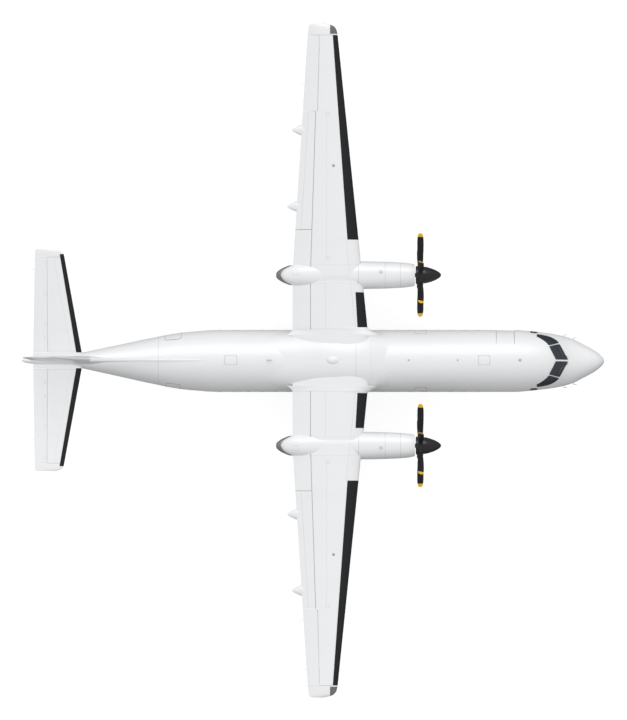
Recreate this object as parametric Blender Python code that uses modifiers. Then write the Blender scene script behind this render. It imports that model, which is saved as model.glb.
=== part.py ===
"""A high-wing twin turboprop airliner, parked on its landing gear.

Metres. +X points to the nose, +Y to the left wing tip and +Z up. The wheels stand on Z = 0.
Every body is a loft through a short table of sections, cut and joined by Boolean modifiers.
"""

import math

import bmesh
import bpy
from mathutils import Matrix, Vector

# Gaps between pieces: FIT where they touch, RUN round a moving nose, END at a moving piece's ends.
FIT = 0.0003
RUN = 0.012
END = 0.015

# Colours as linear red, green and blue, then roughness and metallic value.
FINISHES = {
    "white_paint": ((0.80, 0.81, 0.82), 0.35, 0.0),
    "black_paint": ((0.016, 0.016, 0.018), 0.40, 0.0),
    "bare_metal": ((0.45, 0.45, 0.46), 0.35, 1.0),
    "gear_grey": ((0.40, 0.42, 0.43), 0.45, 0.0),
    "rubber": ((0.020, 0.020, 0.020), 0.80, 0.0),
}

# Fuselage sections: station x, half width, bottom height, top height.
FUSELAGE = (
    (11.60, 0.750, 0.905, 2.190),
    (11.25, 0.930, 0.810, 2.320),
    (10.96, 1.030, 0.750, 2.460),
    (10.60, 1.120, 0.700, 2.740),
    (10.20, 1.190, 0.650, 3.000),
    (9.75, 1.245, 0.600, 3.130),
    (9.20, 1.300, 0.560, 3.205),
    (8.70, 1.335, 0.530, 3.230),
    (-4.10, 1.335, 0.530, 3.230),
    (-4.90, 1.290, 0.575, 3.230),
    (-5.55, 1.235, 0.680, 3.230),
    (-6.20, 1.140, 0.840, 3.228),
    (-6.85, 1.010, 1.040, 3.225),
    (-7.50, 0.875, 1.270, 3.220),
    (-8.15, 0.730, 1.520, 3.215),
    (-8.80, 0.590, 1.780, 3.210),
    (-9.40, 0.460, 2.020, 3.200),
    (-9.90, 0.350, 2.220, 3.190),
)
RADOME = (
    (12.55, 0.030, 1.520, 1.580),
    (12.50, 0.140, 1.410, 1.690),
    (12.41, 0.240, 1.300, 1.800),
    (12.25, 0.380, 1.180, 1.930),
    (12.00, 0.540, 1.050, 2.050),
    (11.60, 0.750, 0.905, 2.190),
)
TAIL_CONE = (
    (-9.90, 0.350, 2.220, 3.190),
    (-10.50, 0.250, 2.420, 3.180),
    (-11.20, 0.200, 2.580, 3.160),
    (-11.90, 0.165, 2.730, 3.130),
    (-12.40, 0.100, 2.850, 3.080),
    (-12.55, 0.030, 2.930, 3.030),
)
# The hump over the wing, in the same columns.
WING_FAIRING = (
    (3.70, 0.600, 2.350, 3.150),
    (3.20, 0.950, 2.160, 3.340),
    (2.60, 1.120, 2.040, 3.460),
    (1.90, 1.160, 2.000, 3.500),
    (0.50, 1.160, 2.000, 3.500),
    (-0.70, 1.140, 2.050, 3.450),
    (-1.60, 1.000, 2.140, 3.360),
    (-2.60, 0.600, 2.320, 3.180),
)
BODY_SIDES = 32

# Wing sections: distance from the centre line, leading edge x, trailing edge x, thickness over chord.
WING = (
    (0.00, 2.460, -0.900, 0.210),
    (3.80, 2.075, -0.900, 0.195),
    (13.98, 1.037, -0.255, 0.150),
    (14.20, 0.930, -0.240, 0.140),
    (14.38, 0.740, -0.190, 0.120),
    (14.47, 0.550, -0.060, 0.090),
    (14.50, 0.400, 0.120, 0.050),
)
WING_CENTRE = (
    (-3.80, 2.075, -0.900, 0.195),
    (0.00, 2.460, -0.900, 0.210),
    (3.80, 2.075, -0.900, 0.195),
)
WING_HEIGHT = 2.92
WING_DIHEDRAL = math.radians(2.5)
WING_INCIDENCE = math.radians(2.0)
WING_PIVOT_X = 0.80
WING_CAMBER = 0.025

# The same columns for the tailplane, and for the fin with heights in place of distances.
TAILPLANE = (
    (0.08, -9.930, -12.070, 0.120),
    (4.57, -10.740, -11.980, 0.100),
    (4.70, -10.880, -11.950, 0.085),
    (4.78, -11.150, -11.800, 0.045),
)
TAILPLANE_HEIGHT = 2.89
TAILPLANE_DIHEDRAL = math.radians(6.0)
FIN = (
    (3.06, -8.860, -12.140, 0.112),
    (7.95, -11.050, -12.380, 0.105),
    (8.20, -11.220, -12.370, 0.085),
    (8.30, -11.420, -12.280, 0.050),
    (8.317, -11.600, -12.150, 0.025),
)
# The dorsal fin in side view, as x and z, under its sloping edge.
DORSAL_FIN = (
    (-4.67, 3.20),
    (-5.60, 3.28),
    (-6.60, 3.42),
    (-7.40, 3.59),
    (-8.20, 3.84),
    (-8.90, 4.16),
    (-9.60, 4.58),
    (-9.90, 3.00),
    (-4.70, 3.00),
)
DORSAL_THICKNESS = 0.09

AIRFOIL_STEPS = 10
TRAILING_EDGE_HALF = 0.003

# Moving and fixed edges: inner end, outer end, front line x at each end.
INNER_FLAP = (1.32, 3.60, -0.130, -0.130)
OUTER_FLAP = (3.75, 10.69, -0.130, 0.090)
AILERON = (10.71, 13.96, 0.100, 0.205)
ELEVATOR = (0.36, 4.43, -11.490, -11.490)
RUDDER = (3.45, 7.95, -11.350, -11.840)
HINGE_PIN_RADIUS = 0.012
NOSE_INSET = 0.004

# Flap track fairings on the outer flap: distance from the centre line, tip x behind the edge.
FLAP_TRACKS = ((6.62, -1.14), (9.90, -0.94))
TRACK_LENGTH = 0.95
TRACK_HALF_WIDTH = 0.235
TRACK_HALF_HEIGHT = 0.11
TRACK_DROP = 0.075
# Share of the length from the front, and size there.
TRACK_SIZES = ((0.0, 0.30), (0.25, 0.85), (0.50, 1.0), (0.75, 0.62), (0.92, 0.28), (1.0, 0.06))

# Nacelle sections, rear body then engine cowl: station x, half width, bottom height, top height.
NACELLE_Y = 3.67
FIREWALL_X = 2.25
NACELLE = (
    (FIREWALL_X, 0.610, 2.230, 3.500),
    (1.20, 0.605, 2.200, 3.520),
    (0.20, 0.580, 2.220, 3.480),
    (-0.40, 0.540, 2.340, 3.420),
    (-0.86, 0.450, 2.580, 3.340),
    (-1.10, 0.345, 2.740, 3.280),
    (-1.30, 0.205, 2.900, 3.210),
    (-1.40, 0.070, 3.000, 3.140),
)
COWL = (
    (4.36, 0.460, 2.400, 3.430),
    (4.20, 0.510, 2.340, 3.480),
    (3.94, 0.550, 2.290, 3.510),
    (3.50, 0.585, 2.250, 3.520),
    (3.07, 0.608, 2.235, 3.520),
    (FIREWALL_X, 0.610, 2.230, 3.500),
)
NACELLE_SIDES = 24
NACELLE_SQUARENESS = 2.3
COWL_WALL = 0.045
PROP_Z = 2.99
# The intake under the spinner, at the cowl's face and further in: station x, half width, bottom, top.
INTAKE = ((4.60, 0.240, 2.51, 2.67), (3.90, 0.200, 2.53, 2.66))

# The exhaust, an oval metal shroud under the rear nacelle, and the hollow in its end.
EXHAUST = (
    (-0.85, 0.435, 2.560, 3.040),
    (-1.00, 0.425, 2.600, 3.030),
    (-1.20, 0.360, 2.660, 3.010),
    (-1.40, 0.265, 2.720, 2.980),
    (-1.54, 0.165, 2.770, 2.940),
    (-1.61, 0.095, 2.800, 2.910),
)
EXHAUST_HOLLOW = ((-1.40, 0.150, 2.800, 2.910), (-1.54, 0.135, 2.800, 2.910), (-1.66, 0.050, 2.835, 2.875))
EXHAUST_SPACE_X = -2.0
EXHAUST_SIDES = 20

# The engine block, about the turbine's real size.
ENGINE_LENGTH = 1.75
ENGINE_HALF_WIDTH = 0.33
ENGINE_HALF_HEIGHT = 0.36

PROP_X = 4.60
PROP_BACK_X = 4.40
PROP_FRONT_X = 4.84
PROP_SHAFT_RADIUS = 0.09
SHAFT_HOLE_GAP = 0.03
BLADE_COUNT = 6
BLADE_PHASE = math.radians(13.0)
# Blade sections: distance from the hub axis, chord, thickness, pitch in degrees from the disc.
BLADE = (
    (0.28, 0.150, 0.130, 88.0),
    (0.55, 0.190, 0.070, 86.0),
    (0.90, 0.255, 0.038, 82.0),
    (1.40, 0.280, 0.022, 77.0),
    (1.70, 0.250, 0.014, 74.0),
    (1.81, 0.160, 0.010, 73.0),
    (1.83, 0.080, 0.008, 73.0),
)
BLADE_SIDES = 8
# Hub drum and spinner outlines: station x, radius.
HUB_PROFILE = ((PROP_FRONT_X, 0.355), (PROP_BACK_X + 0.06, 0.385), (PROP_BACK_X, 0.390))
SPINNER_BACK_X = PROP_FRONT_X + FIT
SPINNER_PROFILE = ((5.490, 0.000), (5.400, 0.085), (5.250, 0.185), (5.050, 0.285), (SPINNER_BACK_X, 0.354))

# Wheels: tyre radius, tyre width, rim radius, half spacing of the pair.
MAIN_TYRE = (0.432, 0.273, 0.240, 0.235)
NOSE_TYRE = (0.305, 0.196, 0.165, 0.160)
MAIN_AXLE_X = 0.50
MAIN_STEPS = 28
NOSE_AXLE_X = 10.20
NOSE_STEPS = 24
AXLE_RADIUS = 0.045
BEARING_GAP = 0.0008

# Wheel wells: back x, front x, half width, roof height. Doors: knee heights below the well's top edge.
MAIN_WELL = (-0.75, 0.95, 0.34, 2.78)
NOSE_WELL = (9.95, 11.20, 0.27, 1.20)
MAIN_DOOR_HEIGHTS = (2.62, 2.17, 1.74)
NOSE_DOOR_HEIGHTS = (1.00, 0.66, 0.55)
NOSE_DOOR_LENGTH = 0.50
DOOR_PANEL = 0.02
DOOR_FLARE = 0.06
DOOR_TUBE_RADIUS = 0.022

# Main leg, measured up from the axle.
LEG_RADIUS = 0.085
LEG_START = 0.75
PISTON_RADIUS = 0.055
PISTON_TOP = 0.85
BRACE_RADIUS = 0.035
BRACE_START = 0.95
BRACE_FOOT = 0.16
AXLE_BLOCK = Vector((0.085, 0.10, 0.085))
TORQUE_LINK = (Vector((0.04, -0.03, 0.20)), Vector((0.13, 0.03, 0.80)))
TRUNNION_RADIUS = 0.05
TRUNNION_DROP = 0.12

# Nose leg: its fixed upper part ends at the collar of the steered strut.
COLLAR_Z = 0.86
COLLAR_HEIGHT = 0.09
NOSE_LEG_RADIUS = 0.075
COLLAR_RADIUS = 0.07
STRUT_RADIUS = 0.045
NOSE_BRACE_RADIUS = 0.028
NOSE_BRACE_Z = (1.00, 1.12)
NOSE_AXLE_BLOCK = Vector((0.065, 0.055, 0.065))
NOSE_LINK = (Vector((-0.11, -0.02, 0.10)), Vector((-0.03, 0.02, 0.42)))

# The airstair door on the left side.
DOOR_FRONT_X = 8.64
DOOR_WIDTH = 0.76
DOOR_SILL_Z = 1.22
DOOR_HEIGHT = 1.78
DOOR_THICKNESS = 0.07
DOOR_GAP = 0.016
DOOR_OPEN = math.radians(135.0)
DOOR_PIN_INSET = 0.004
DOOR_PIN_RADIUS = 0.008
DOOR_SECTION = FUSELAGE[7]
# The entry behind the door: how far the leaning sill and head run in, then a level floor and a roof.
SILL_DEPTH = 0.12
ENTRY_INNER_Y = 0.30
ENTRY_FLOOR_Z = 1.175
ENTRY_ROOF_Z = 2.95
# The stair in the door's shell: two side plates with treads that lie level when the door is open.
STAIR_HALF_WIDTH = 0.30
STAIR_REACH = 0.19
STAIR_FOOT = 0.06
STAIR_PLATE = 0.024
TREAD_COUNT = 5
TREAD_FIRST = 0.24
TREAD_PITCH = 0.335
TREAD_DEPTH = 0.24
TREAD_THICKNESS = 0.026
TREAD_INSET = 0.075

# A flush dome and a blade aerial on the crown, and a blade aerial on the belly, in side view as x and z.
DOME_CENTRE = Vector((0.83, 0.0, 3.50))
DOME_HALF = Vector((0.27, 0.17, 0.09))
CROWN_AERIAL = ((-1.76, 3.18), (-1.86, 3.60), (-2.00, 3.60), (-2.03, 3.18))
BELLY_AERIAL = ((3.12, 0.60), (2.98, 0.24), (2.86, 0.24), (2.84, 0.60))
AERIAL_HALF = 0.012

SCENE = bpy.context.scene
PARTS = None
CUTTERS = None


def clear_scene():
    for obj in list(bpy.data.objects):
        bpy.data.objects.remove(obj, do_unlink=True)


def new_collection(name, hidden=False):
    collection = bpy.data.collections.new(name)
    collection.hide_render = hidden
    SCENE.collection.children.link(collection)
    return collection


def finish_material(name, part_name):
    """A Principled material for one part, from the named finish."""
    colour, roughness, metallic = FINISHES[name]
    material = bpy.data.materials.new(part_name + "_" + name)
    material.use_nodes = True
    shader = material.node_tree.nodes["Principled BSDF"]
    shader.inputs["Base Color"].default_value = (*colour, 1.0)
    shader.inputs["Roughness"].default_value = roughness
    shader.inputs["Metallic"].default_value = metallic
    material.diffuse_color = (*colour, 1.0)
    return material


def new_object(name, bm, finish=None):
    """A mesh object from a bmesh. Without a finish it is a cutter, which doesn't render."""
    bmesh.ops.remove_doubles(bm, verts=bm.verts, dist=1e-6)
    bmesh.ops.recalc_face_normals(bm, faces=bm.faces)
    mesh = bpy.data.meshes.new(name)
    bm.to_mesh(mesh)
    bm.free()
    obj = bpy.data.objects.new(name, mesh)
    if finish:
        PARTS.objects.link(obj)
        mesh.materials.append(finish_material(finish, name))
    else:
        CUTTERS.objects.link(obj)
        obj.hide_render = True
        obj.display_type = "WIRE"
    return obj


def add_loft(bm, rings):
    """Triangles between rings of equal point count, all split the same way, with a flat cap on each end."""
    rows = []
    for ring in rings:
        rows.append([bm.verts.new(point) for point in ring])
    count = len(rows[0])
    for near, far in zip(rows, rows[1:]):
        for i in range(count):
            j = (i + 1) % count
            bm.faces.new((near[i], near[j], far[j]))
            bm.faces.new((near[i], far[j], far[i]))
    bm.faces.new(rows[0])
    bm.faces.new(list(reversed(rows[-1])))


def loft(name, rings, finish=None):
    bm = bmesh.new()
    add_loft(bm, rings)
    return new_object(name, bm, finish)


def box(name, low, high, finish=None, turn=Matrix()):
    bm = bmesh.new()
    bmesh.ops.create_cube(bm, size=1.0)
    size = Vector(high) - Vector(low)
    middle = (Vector(high) + Vector(low)) / 2
    place = turn @ Matrix.Translation(middle) @ Matrix.Diagonal((*size, 1.0))
    bmesh.ops.transform(bm, matrix=place, verts=bm.verts)
    return new_object(name, bm, finish)


def rod(name, start, end, radius, finish=None, end_radius=None, sides=12):
    """A round bar from start to end, tapered where end_radius is given."""
    start = Vector(start)
    end = Vector(end)
    along = end - start
    bm = bmesh.new()
    bmesh.ops.create_cone(
        bm,
        cap_ends=True,
        segments=sides,
        radius1=radius,
        radius2=radius if end_radius is None else end_radius,
        depth=along.length,
    )
    turn = along.to_track_quat("Z", "Y").to_matrix().to_4x4()
    bmesh.ops.transform(bm, matrix=Matrix.Translation((start + end) / 2) @ turn, verts=bm.verts)
    return new_object(name, bm, finish)


def add_boolean(obj, other, operation):
    modifier = obj.modifiers.new(operation.lower() + "_" + other.name, "BOOLEAN")
    modifier.operation = operation
    modifier.object = other
    modifier.solver = "EXACT"


def apply_modifiers(obj):
    """The evaluated mesh in place of the modifiers, as one closed body: smaller loose bits are dropped."""
    bpy.context.view_layer.update()
    graph = bpy.context.evaluated_depsgraph_get()
    mesh = bpy.data.meshes.new_from_object(obj.evaluated_get(graph))
    obj.modifiers.clear()
    bm = bmesh.new()
    bm.from_mesh(mesh)
    bmesh.ops.remove_doubles(bm, verts=bm.verts, dist=2e-5)
    bmesh.ops.dissolve_degenerate(bm, dist=1e-5, edges=bm.edges)
    keep_largest(bm)
    bm.to_mesh(mesh)
    bm.free()
    obj.data = mesh
    return obj


def keep_largest(bm):
    """Deletes all but the largest group of linked faces by box size."""
    left = set(bm.faces)
    groups = []
    while left:
        group = {left.pop()}
        front = list(group)
        while front:
            face = front.pop()
            for edge in face.edges:
                for other in edge.link_faces:
                    if other in left:
                        left.discard(other)
                        group.add(other)
                        front.append(other)
        points = [vert.co for face in group for vert in face.verts]
        low = Vector(map(min, zip(*points)))
        high = Vector(map(max, zip(*points)))
        size = high - low
        groups.append((size.x * size.y * size.z, group))
    largest = max(groups, key=lambda entry: entry[0])[1]
    bmesh.ops.delete(bm, geom=[face for face in bm.faces if face not in largest], context="FACES")


def cut(obj, *cutters):
    for cutter in cutters:
        add_boolean(obj, cutter, "DIFFERENCE")
    return apply_modifiers(obj)


def join(obj, *others):
    """One closed body from obj and the others, which are removed."""
    for other in others:
        add_boolean(obj, other, "UNION")
    apply_modifiers(obj)
    for other in others:
        bpy.data.objects.remove(other, do_unlink=True)
    return obj


def ring(x, y, half_width, bottom, top, sides, squareness=2.0):
    """A closed section at station x. Squareness 2 is an ellipse, and more than 2 has fuller corners."""
    middle = (top + bottom) / 2
    half_height = (top - bottom) / 2
    points = []
    for step in range(sides):
        angle = 2 * math.pi * (step + 0.5) / sides
        across = math.copysign(abs(math.sin(angle)) ** (2 / squareness), math.sin(angle))
        up = math.copysign(abs(math.cos(angle)) ** (2 / squareness), math.cos(angle))
        points.append(Vector((x, y + half_width * across, middle + half_height * up)))
    return points


def body_rings(table, grow=0.0, y=0.0, sides=BODY_SIDES, squareness=2.0):
    """The rings of a table of sections, each grown outward, and the end rings moved out as far."""
    rings = []
    for x, half_width, bottom, top in table:
        rings.append(ring(x, y, half_width + grow, bottom - grow, top + grow, sides, squareness))
    for point in rings[0]:
        point.x += grow
    for point in rings[-1]:
        point.x -= grow
    return rings


def airfoil(leading, trailing, ratio, camber):
    """Section points (x, height over the chord), from the trailing edge over the top and back below."""
    chord = leading - trailing
    upper = []
    lower = []
    for step in range(AIRFOIL_STEPS + 1):
        part = (1 - math.cos(math.pi * step / AIRFOIL_STEPS)) / 2
        thick = 5 * ratio * (
            0.2969 * math.sqrt(part) - 0.1260 * part - 0.3516 * part**2 + 0.2843 * part**3 - 0.1036 * part**4
        )
        middle = 4 * camber * part * (1 - part)
        half = thick * chord + TRAILING_EDGE_HALF * part
        upper.append((leading - part * chord, middle * chord + half))
        lower.append((leading - part * chord, middle * chord - half))
    return list(reversed(upper)) + lower[1:]


def wing_point(x, y, height):
    lift = (x - WING_PIVOT_X) * math.tan(WING_INCIDENCE)
    return Vector((x, y, WING_HEIGHT + abs(y) * math.tan(WING_DIHEDRAL) + lift + height))


def tailplane_point(x, y, height):
    return Vector((x, y, TAILPLANE_HEIGHT + abs(y) * math.tan(TAILPLANE_DIHEDRAL) + height))


def fin_point(x, z, height):
    return Vector((x, height, z))


def surface_rings(table, place, side=1, camber=0.0):
    rings = []
    for span, leading, trailing, ratio in table:
        outline = airfoil(leading, trailing, ratio, camber)
        rings.append([place(x, side * span, height) for x, height in outline])
    return rings


def section_at(table, span):
    """Leading edge, trailing edge and thickness ratio between the table's rows."""
    for near, far in zip(table, table[1:]):
        if near[0] <= span <= far[0]:
            share = (span - near[0]) / (far[0] - near[0])
            return [near[i] + share * (far[i] - near[i]) for i in (1, 2, 3)]
    return list(table[-1][1:])


def hinge_at(table, place, span, x, side=1, camber=0.0):
    """The point midway through the section at x, and the half thickness there."""
    leading, trailing, ratio = section_at(table, span)
    outline = airfoil(leading, trailing, ratio, camber)
    upper = list(reversed(outline[: AIRFOIL_STEPS + 1]))
    lower = outline[AIRFOIL_STEPS:]
    heights = []
    for line in (upper, lower):
        for (near_x, near_h), (far_x, far_h) in zip(line, line[1:]):
            if far_x <= x <= near_x:
                heights.append(near_h + (x - near_x) / (far_x - near_x) * (far_h - near_h))
                break
    return place(x, side * span, sum(heights) / 2), (heights[0] - heights[1]) / 2


def plan_prism(name, corners, low, high):
    """A cutter over plan corners given as (x, y), between two heights."""
    return loft(name, [[Vector((x, y, z)) for x, y in corners] for z in (low, high)])


def side_prism(name, corners, half_width):
    """A cutter over side corners given as (x, z), to half_width on each side."""
    sides = (-half_width, half_width)
    return loft(name, [[Vector((x, across, z)) for x, z in corners] for across in sides])


def edge_corners(edge, front_gap, end_gap, side=1):
    """Plan corners of the space behind an edge's front line: far back, out to its ends."""
    inner, outer, inner_x, outer_x = edge
    back_x = min(inner_x, outer_x) - 3.0
    near = side * (inner - end_gap)
    far = side * (outer + end_gap)
    return (
        (inner_x + front_gap[0], near),
        (outer_x + front_gap[1], far),
        (back_x, far),
        (back_x, near),
    )


def control_surface(name, full, edge, table, place, prism, side=1, camber=0.0):
    """A hinged surface cut from a full one, with a round nose on its hinge line and a pin at each end.

    It returns the surface and the cutter for its bay.
    """
    inner, outer, inner_x, outer_x = edge
    points = []
    radii = []
    for span, x in ((inner, inner_x), (outer, outer_x)):
        point, half = hinge_at(table, place, span, x, side, camber)
        points.append(point)
        radii.append(half - 0.002)
    along = (points[1] - points[0]).normalized()
    bay = prism("bay_" + name, edge_corners(edge, [radius + RUN for radius in radii], END, side))
    keep = prism("keep_" + name, edge_corners(edge, (0.0, 0.0), 0.0, side))
    surface = bpy.data.objects.new(name, full.data.copy())
    PARTS.objects.link(surface)
    surface.data.materials.clear()
    surface.data.materials.append(finish_material("white_paint", name))
    add_boolean(surface, keep, "INTERSECT")
    apply_modifiers(surface)
    inset = along * NOSE_INSET
    nose = rod("nose_" + name, points[0] + inset, points[1] - inset, radii[0], None, radii[1], 16)
    tilt = math.sqrt(1 - max(abs(value) for value in along) ** 2)
    reach = END - 2 * FIT - HINGE_PIN_RADIUS * tilt
    ends = (points[0] - along * reach, points[1] + along * reach)
    pin = rod("pin_" + name, *ends, HINGE_PIN_RADIUS, sides=8)
    join(surface, nose, pin)
    place_origin(surface, points[0])
    return surface, bay


def place_origin(obj, point):
    """Moves the object's origin to a point, its mesh staying where it is."""
    obj.data.transform(Matrix.Translation(-Vector(point)))
    obj.location = point


def copy_as(name, source, finish):
    obj = bpy.data.objects.new(name, source.data.copy())
    PARTS.objects.link(obj)
    obj.data.materials.clear()
    obj.data.materials.append(finish_material(finish, name))
    return obj


def turned(name, outline, axis_point, direction, steps, finish, start_angle=0.0):
    """A body turned about an axis: outline points are (distance along the axis, radius)."""
    mesh = bpy.data.meshes.new(name)
    points = [(radius, 0.0, along) for along, radius in outline]
    mesh.from_pydata(points, [(i, i + 1) for i in range(len(points) - 1)], [])
    obj = bpy.data.objects.new(name, mesh)
    (PARTS if finish else CUTTERS).objects.link(obj)
    screw = obj.modifiers.new("turn", "SCREW")
    screw.steps = steps
    screw.render_steps = steps
    screw.use_merge_vertices = True
    screw.merge_threshold = 0.0001
    screw.use_normal_calculate = True
    apply_modifiers(obj)
    bm = bmesh.new()
    bm.from_mesh(obj.data)
    turn = Vector(direction).to_track_quat("Z", "Y").to_matrix().to_4x4()
    bmesh.ops.transform(bm, matrix=turn @ Matrix.Rotation(start_angle, 4, "Z"), verts=bm.verts)
    bmesh.ops.recalc_face_normals(bm, faces=bm.faces)
    bm.to_mesh(obj.data)
    bm.free()
    if finish:
        obj.data.materials.append(finish_material(finish, name))
    obj.location = axis_point
    return obj


def side_name(side):
    return "left" if side > 0 else "right"


def build_fuselage():
    """The fuselage, with the wing's notch, the nose wheel well and the entry behind the door cut out."""
    fuselage = loft("fuselage", body_rings(FUSELAGE), "white_paint")
    wing = loft("space_wing", grown(surface_rings(WING_CENTRE, wing_point, 1, WING_CAMBER)))
    back, front, half_width, roof = NOSE_WELL
    well = box("nose_well", (back, -half_width, 0.0), (front, half_width, roof))
    recess = door_box("door_recess", DOOR_GAP, SILL_DEPTH)
    low = (DOOR_FRONT_X - DOOR_WIDTH - DOOR_GAP, ENTRY_INNER_Y, ENTRY_FLOOR_Z)
    entry = box("entry", low, (DOOR_FRONT_X + DOOR_GAP, DOOR_SECTION[1], ENTRY_ROOF_Z))
    add_boolean(entry, loft("entry_limit", body_rings(FUSELAGE, -(DOOR_THICKNESS + DOOR_GAP))), "INTERSECT")
    apply_modifiers(entry)
    cut(fuselage, wing, well, recess, entry)
    return fuselage


def grown(rings, distance=FIT * 2):
    """Airfoil rings moved outward in their own planes."""
    result = []
    for points in rings:
        count = len(points)
        moved = []
        for i, point in enumerate(points):
            before = (point - points[i - 1]).normalized()
            after = (points[(i + 1) % count] - point).normalized()
            along = (before + after).normalized()
            outward = Vector((along.z, 0.0, -along.x))
            moved.append(point - outward * distance)
        middle = sum(points, Vector()) / count
        wider = (moved[count // 2] - middle).length > (points[count // 2] - middle).length
        if not wider:
            moved = [2 * point - new for point, new in zip(points, moved)]
        result.append(moved)
    return result


def door_sill():
    """The sill point on the fuselage side, and the lean of the line from there to the door's head."""
    _, radius, bottom, top = DOOR_SECTION
    middle = (top + bottom) / 2
    half_height = (top - bottom) / 2
    sill = radius * math.sqrt(1 - ((DOOR_SILL_Z - middle) / half_height) ** 2)
    head = radius * math.sqrt(1 - ((DOOR_SILL_Z + DOOR_HEIGHT - middle) / half_height) ** 2)
    lean = math.atan2(sill - head, DOOR_HEIGHT)
    return Vector((DOOR_FRONT_X - DOOR_WIDTH / 2, sill, DOOR_SILL_Z)), lean


def door_frame():
    """The matrix of a frame on the sill that leans with the door: Y outward and Z along the door."""
    sill, lean = door_sill()
    return Matrix.Translation(sill) @ Matrix.Rotation(lean, 4, "X")


def door_length():
    _, lean = door_sill()
    return DOOR_HEIGHT / math.cos(lean)


def door_box(name, gap, depth):
    """The door's outline as a leaning box, reaching depth inward of the sill point."""
    half = DOOR_WIDTH / 2 + gap
    return box(name, (-half, -depth, -gap), (half, 0.6, door_length() + gap), None, door_frame())


def build_door():
    """The door: a curved shell with its hinge pin at the foot and a stair on its inner face."""
    door = loft("airstair_door", body_rings(FUSELAGE), "white_paint")
    inside = loft("door_inside", body_rings(FUSELAGE, -DOOR_THICKNESS))
    add_boolean(door, door_box("door_outline", 0.0, 0.6), "INTERSECT")
    add_boolean(door, inside, "DIFFERENCE")
    apply_modifiers(door)
    pin_at = door_frame() @ Vector((0.0, -DOOR_PIN_INSET, DOOR_PIN_INSET))
    reach = Vector((DOOR_WIDTH / 2 + DOOR_GAP - FIT, 0.0, 0.0))
    pin = rod("door_pin", pin_at - reach, pin_at + reach, DOOR_PIN_RADIUS, None, None, 8)
    join(door, pin, *stair_pieces())
    place_origin(door, pin_at)


def stair_pieces():
    """The stair's side plates, which fill the shell's hollow to a straight edge, and its treads."""
    _, lean = door_sill()
    pieces = []
    limit = loft("stair_limit", body_rings(FUSELAGE, 0.003 - DOOR_THICKNESS))
    for side in (-1, 1):
        low = (side * STAIR_HALF_WIDTH - STAIR_PLATE / 2, -STAIR_REACH, STAIR_FOOT)
        high = (side * STAIR_HALF_WIDTH + STAIR_PLATE / 2, 0.6, door_length() - STAIR_FOOT)
        plate = box("stair_plate", low, high, None, door_frame())
        add_boolean(plate, limit, "INTERSECT")
        pieces.append(apply_modifiers(plate))
    level = math.pi - DOOR_OPEN - lean
    size = Vector((2 * STAIR_HALF_WIDTH, TREAD_THICKNESS, TREAD_DEPTH)) / 2
    for number in range(TREAD_COUNT):
        middle = Matrix.Translation((0.0, -TREAD_INSET, TREAD_FIRST + number * TREAD_PITCH))
        turn = door_frame() @ middle @ Matrix.Rotation(level, 4, "X")
        pieces.append(box("tread", -size, size, None, turn))
    return pieces


def build_bodies():
    loft("radome", body_rings(shifted(RADOME, FIT)), "white_paint")
    loft("tail_cone", body_rings(shifted(TAIL_CONE, -FIT)), "white_paint")
    fairing = loft("wing_fairing", body_rings(WING_FAIRING), "white_paint")
    wing = loft("space_wing_fairing", grown(surface_rings(WING_CENTRE, wing_point, 1, WING_CAMBER)))
    body = loft("space_body_fairing", body_rings(FUSELAGE, FIT))
    cut(fairing, wing, body)
    hump = loft("space_hump", body_rings(WING_FAIRING, FIT))
    bm = bmesh.new()
    bmesh.ops.create_uvsphere(bm, u_segments=20, v_segments=10, radius=1.0)
    place = Matrix.Translation(DOME_CENTRE) @ Matrix.Diagonal((*DOME_HALF, 1.0))
    bmesh.ops.transform(bm, matrix=place, verts=bm.verts)
    cut(new_object("crown_dome", bm, "white_paint"), hump)
    for name, corners in (("crown_aerial", CROWN_AERIAL), ("belly_aerial", BELLY_AERIAL)):
        aerial = copy_as(name, side_prism("whole_" + name, corners, AERIAL_HALF), "white_paint")
        cut(aerial, hump, body)


def shifted(table, distance):
    return [(row[0] + distance, *row[1:]) for row in table]


def build_wings():
    """The centre wing, both outer wings and their flaps and ailerons, cut round the nacelles."""
    centre = loft("wing_centre", surface_rings(WING_CENTRE, wing_point, 1, WING_CAMBER), "white_paint")
    for side in (1, -1):
        nacelle = loft("space_nacelle_" + side_name(side), nacelle_rings(side, FIT))
        whole = loft("whole_wing_" + side_name(side), surface_rings(WING, wing_point, side, WING_CAMBER))
        outer = copy_as("wing_" + side_name(side), whole, "white_paint")
        inboard = span_slab("inboard_" + side_name(side), 0.0, side * NACELLE_Y)
        outboard = span_slab("outboard_" + side_name(side), side * NACELLE_Y, 2 * side * NACELLE_Y)
        _, bay = control_surface(
            "aileron_" + side_name(side), whole, AILERON, WING, wing_point, level_prism, side, WING_CAMBER
        )
        spaces = []
        for kind, edge in (("outer", OUTER_FLAP), ("inner", INNER_FLAP)):
            corners = edge_corners(edge, (FIT, FIT), FIT, side)
            spaces.append(level_prism("space_" + kind + "_flap_" + side_name(side), corners))
        cut(outer, inboard, nacelle, bay, spaces[0])
        cut(centre, outboard, nacelle, spaces[1])
        for kind, edge in (("outer_flap", OUTER_FLAP), ("inner_flap", INNER_FLAP)):
            flap = copy_as(kind + "_" + side_name(side), whole, "white_paint")
            keep = level_prism("keep_" + flap.name, edge_corners(edge, (0.0, 0.0), 0.0, side))
            add_boolean(flap, keep, "INTERSECT")
            add_boolean(flap, nacelle, "DIFFERENCE")
            apply_modifiers(flap)
            if kind == "outer_flap":
                join(flap, *[flap_track(side, y, tip_x) for y, tip_x in FLAP_TRACKS])


def span_slab(name, near, far):
    """A cutter over the whole wing between two distances from the centre line."""
    return box(name, (-5.0, min(near, far), 0.0), (5.0, max(near, far), 6.0))


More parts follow.
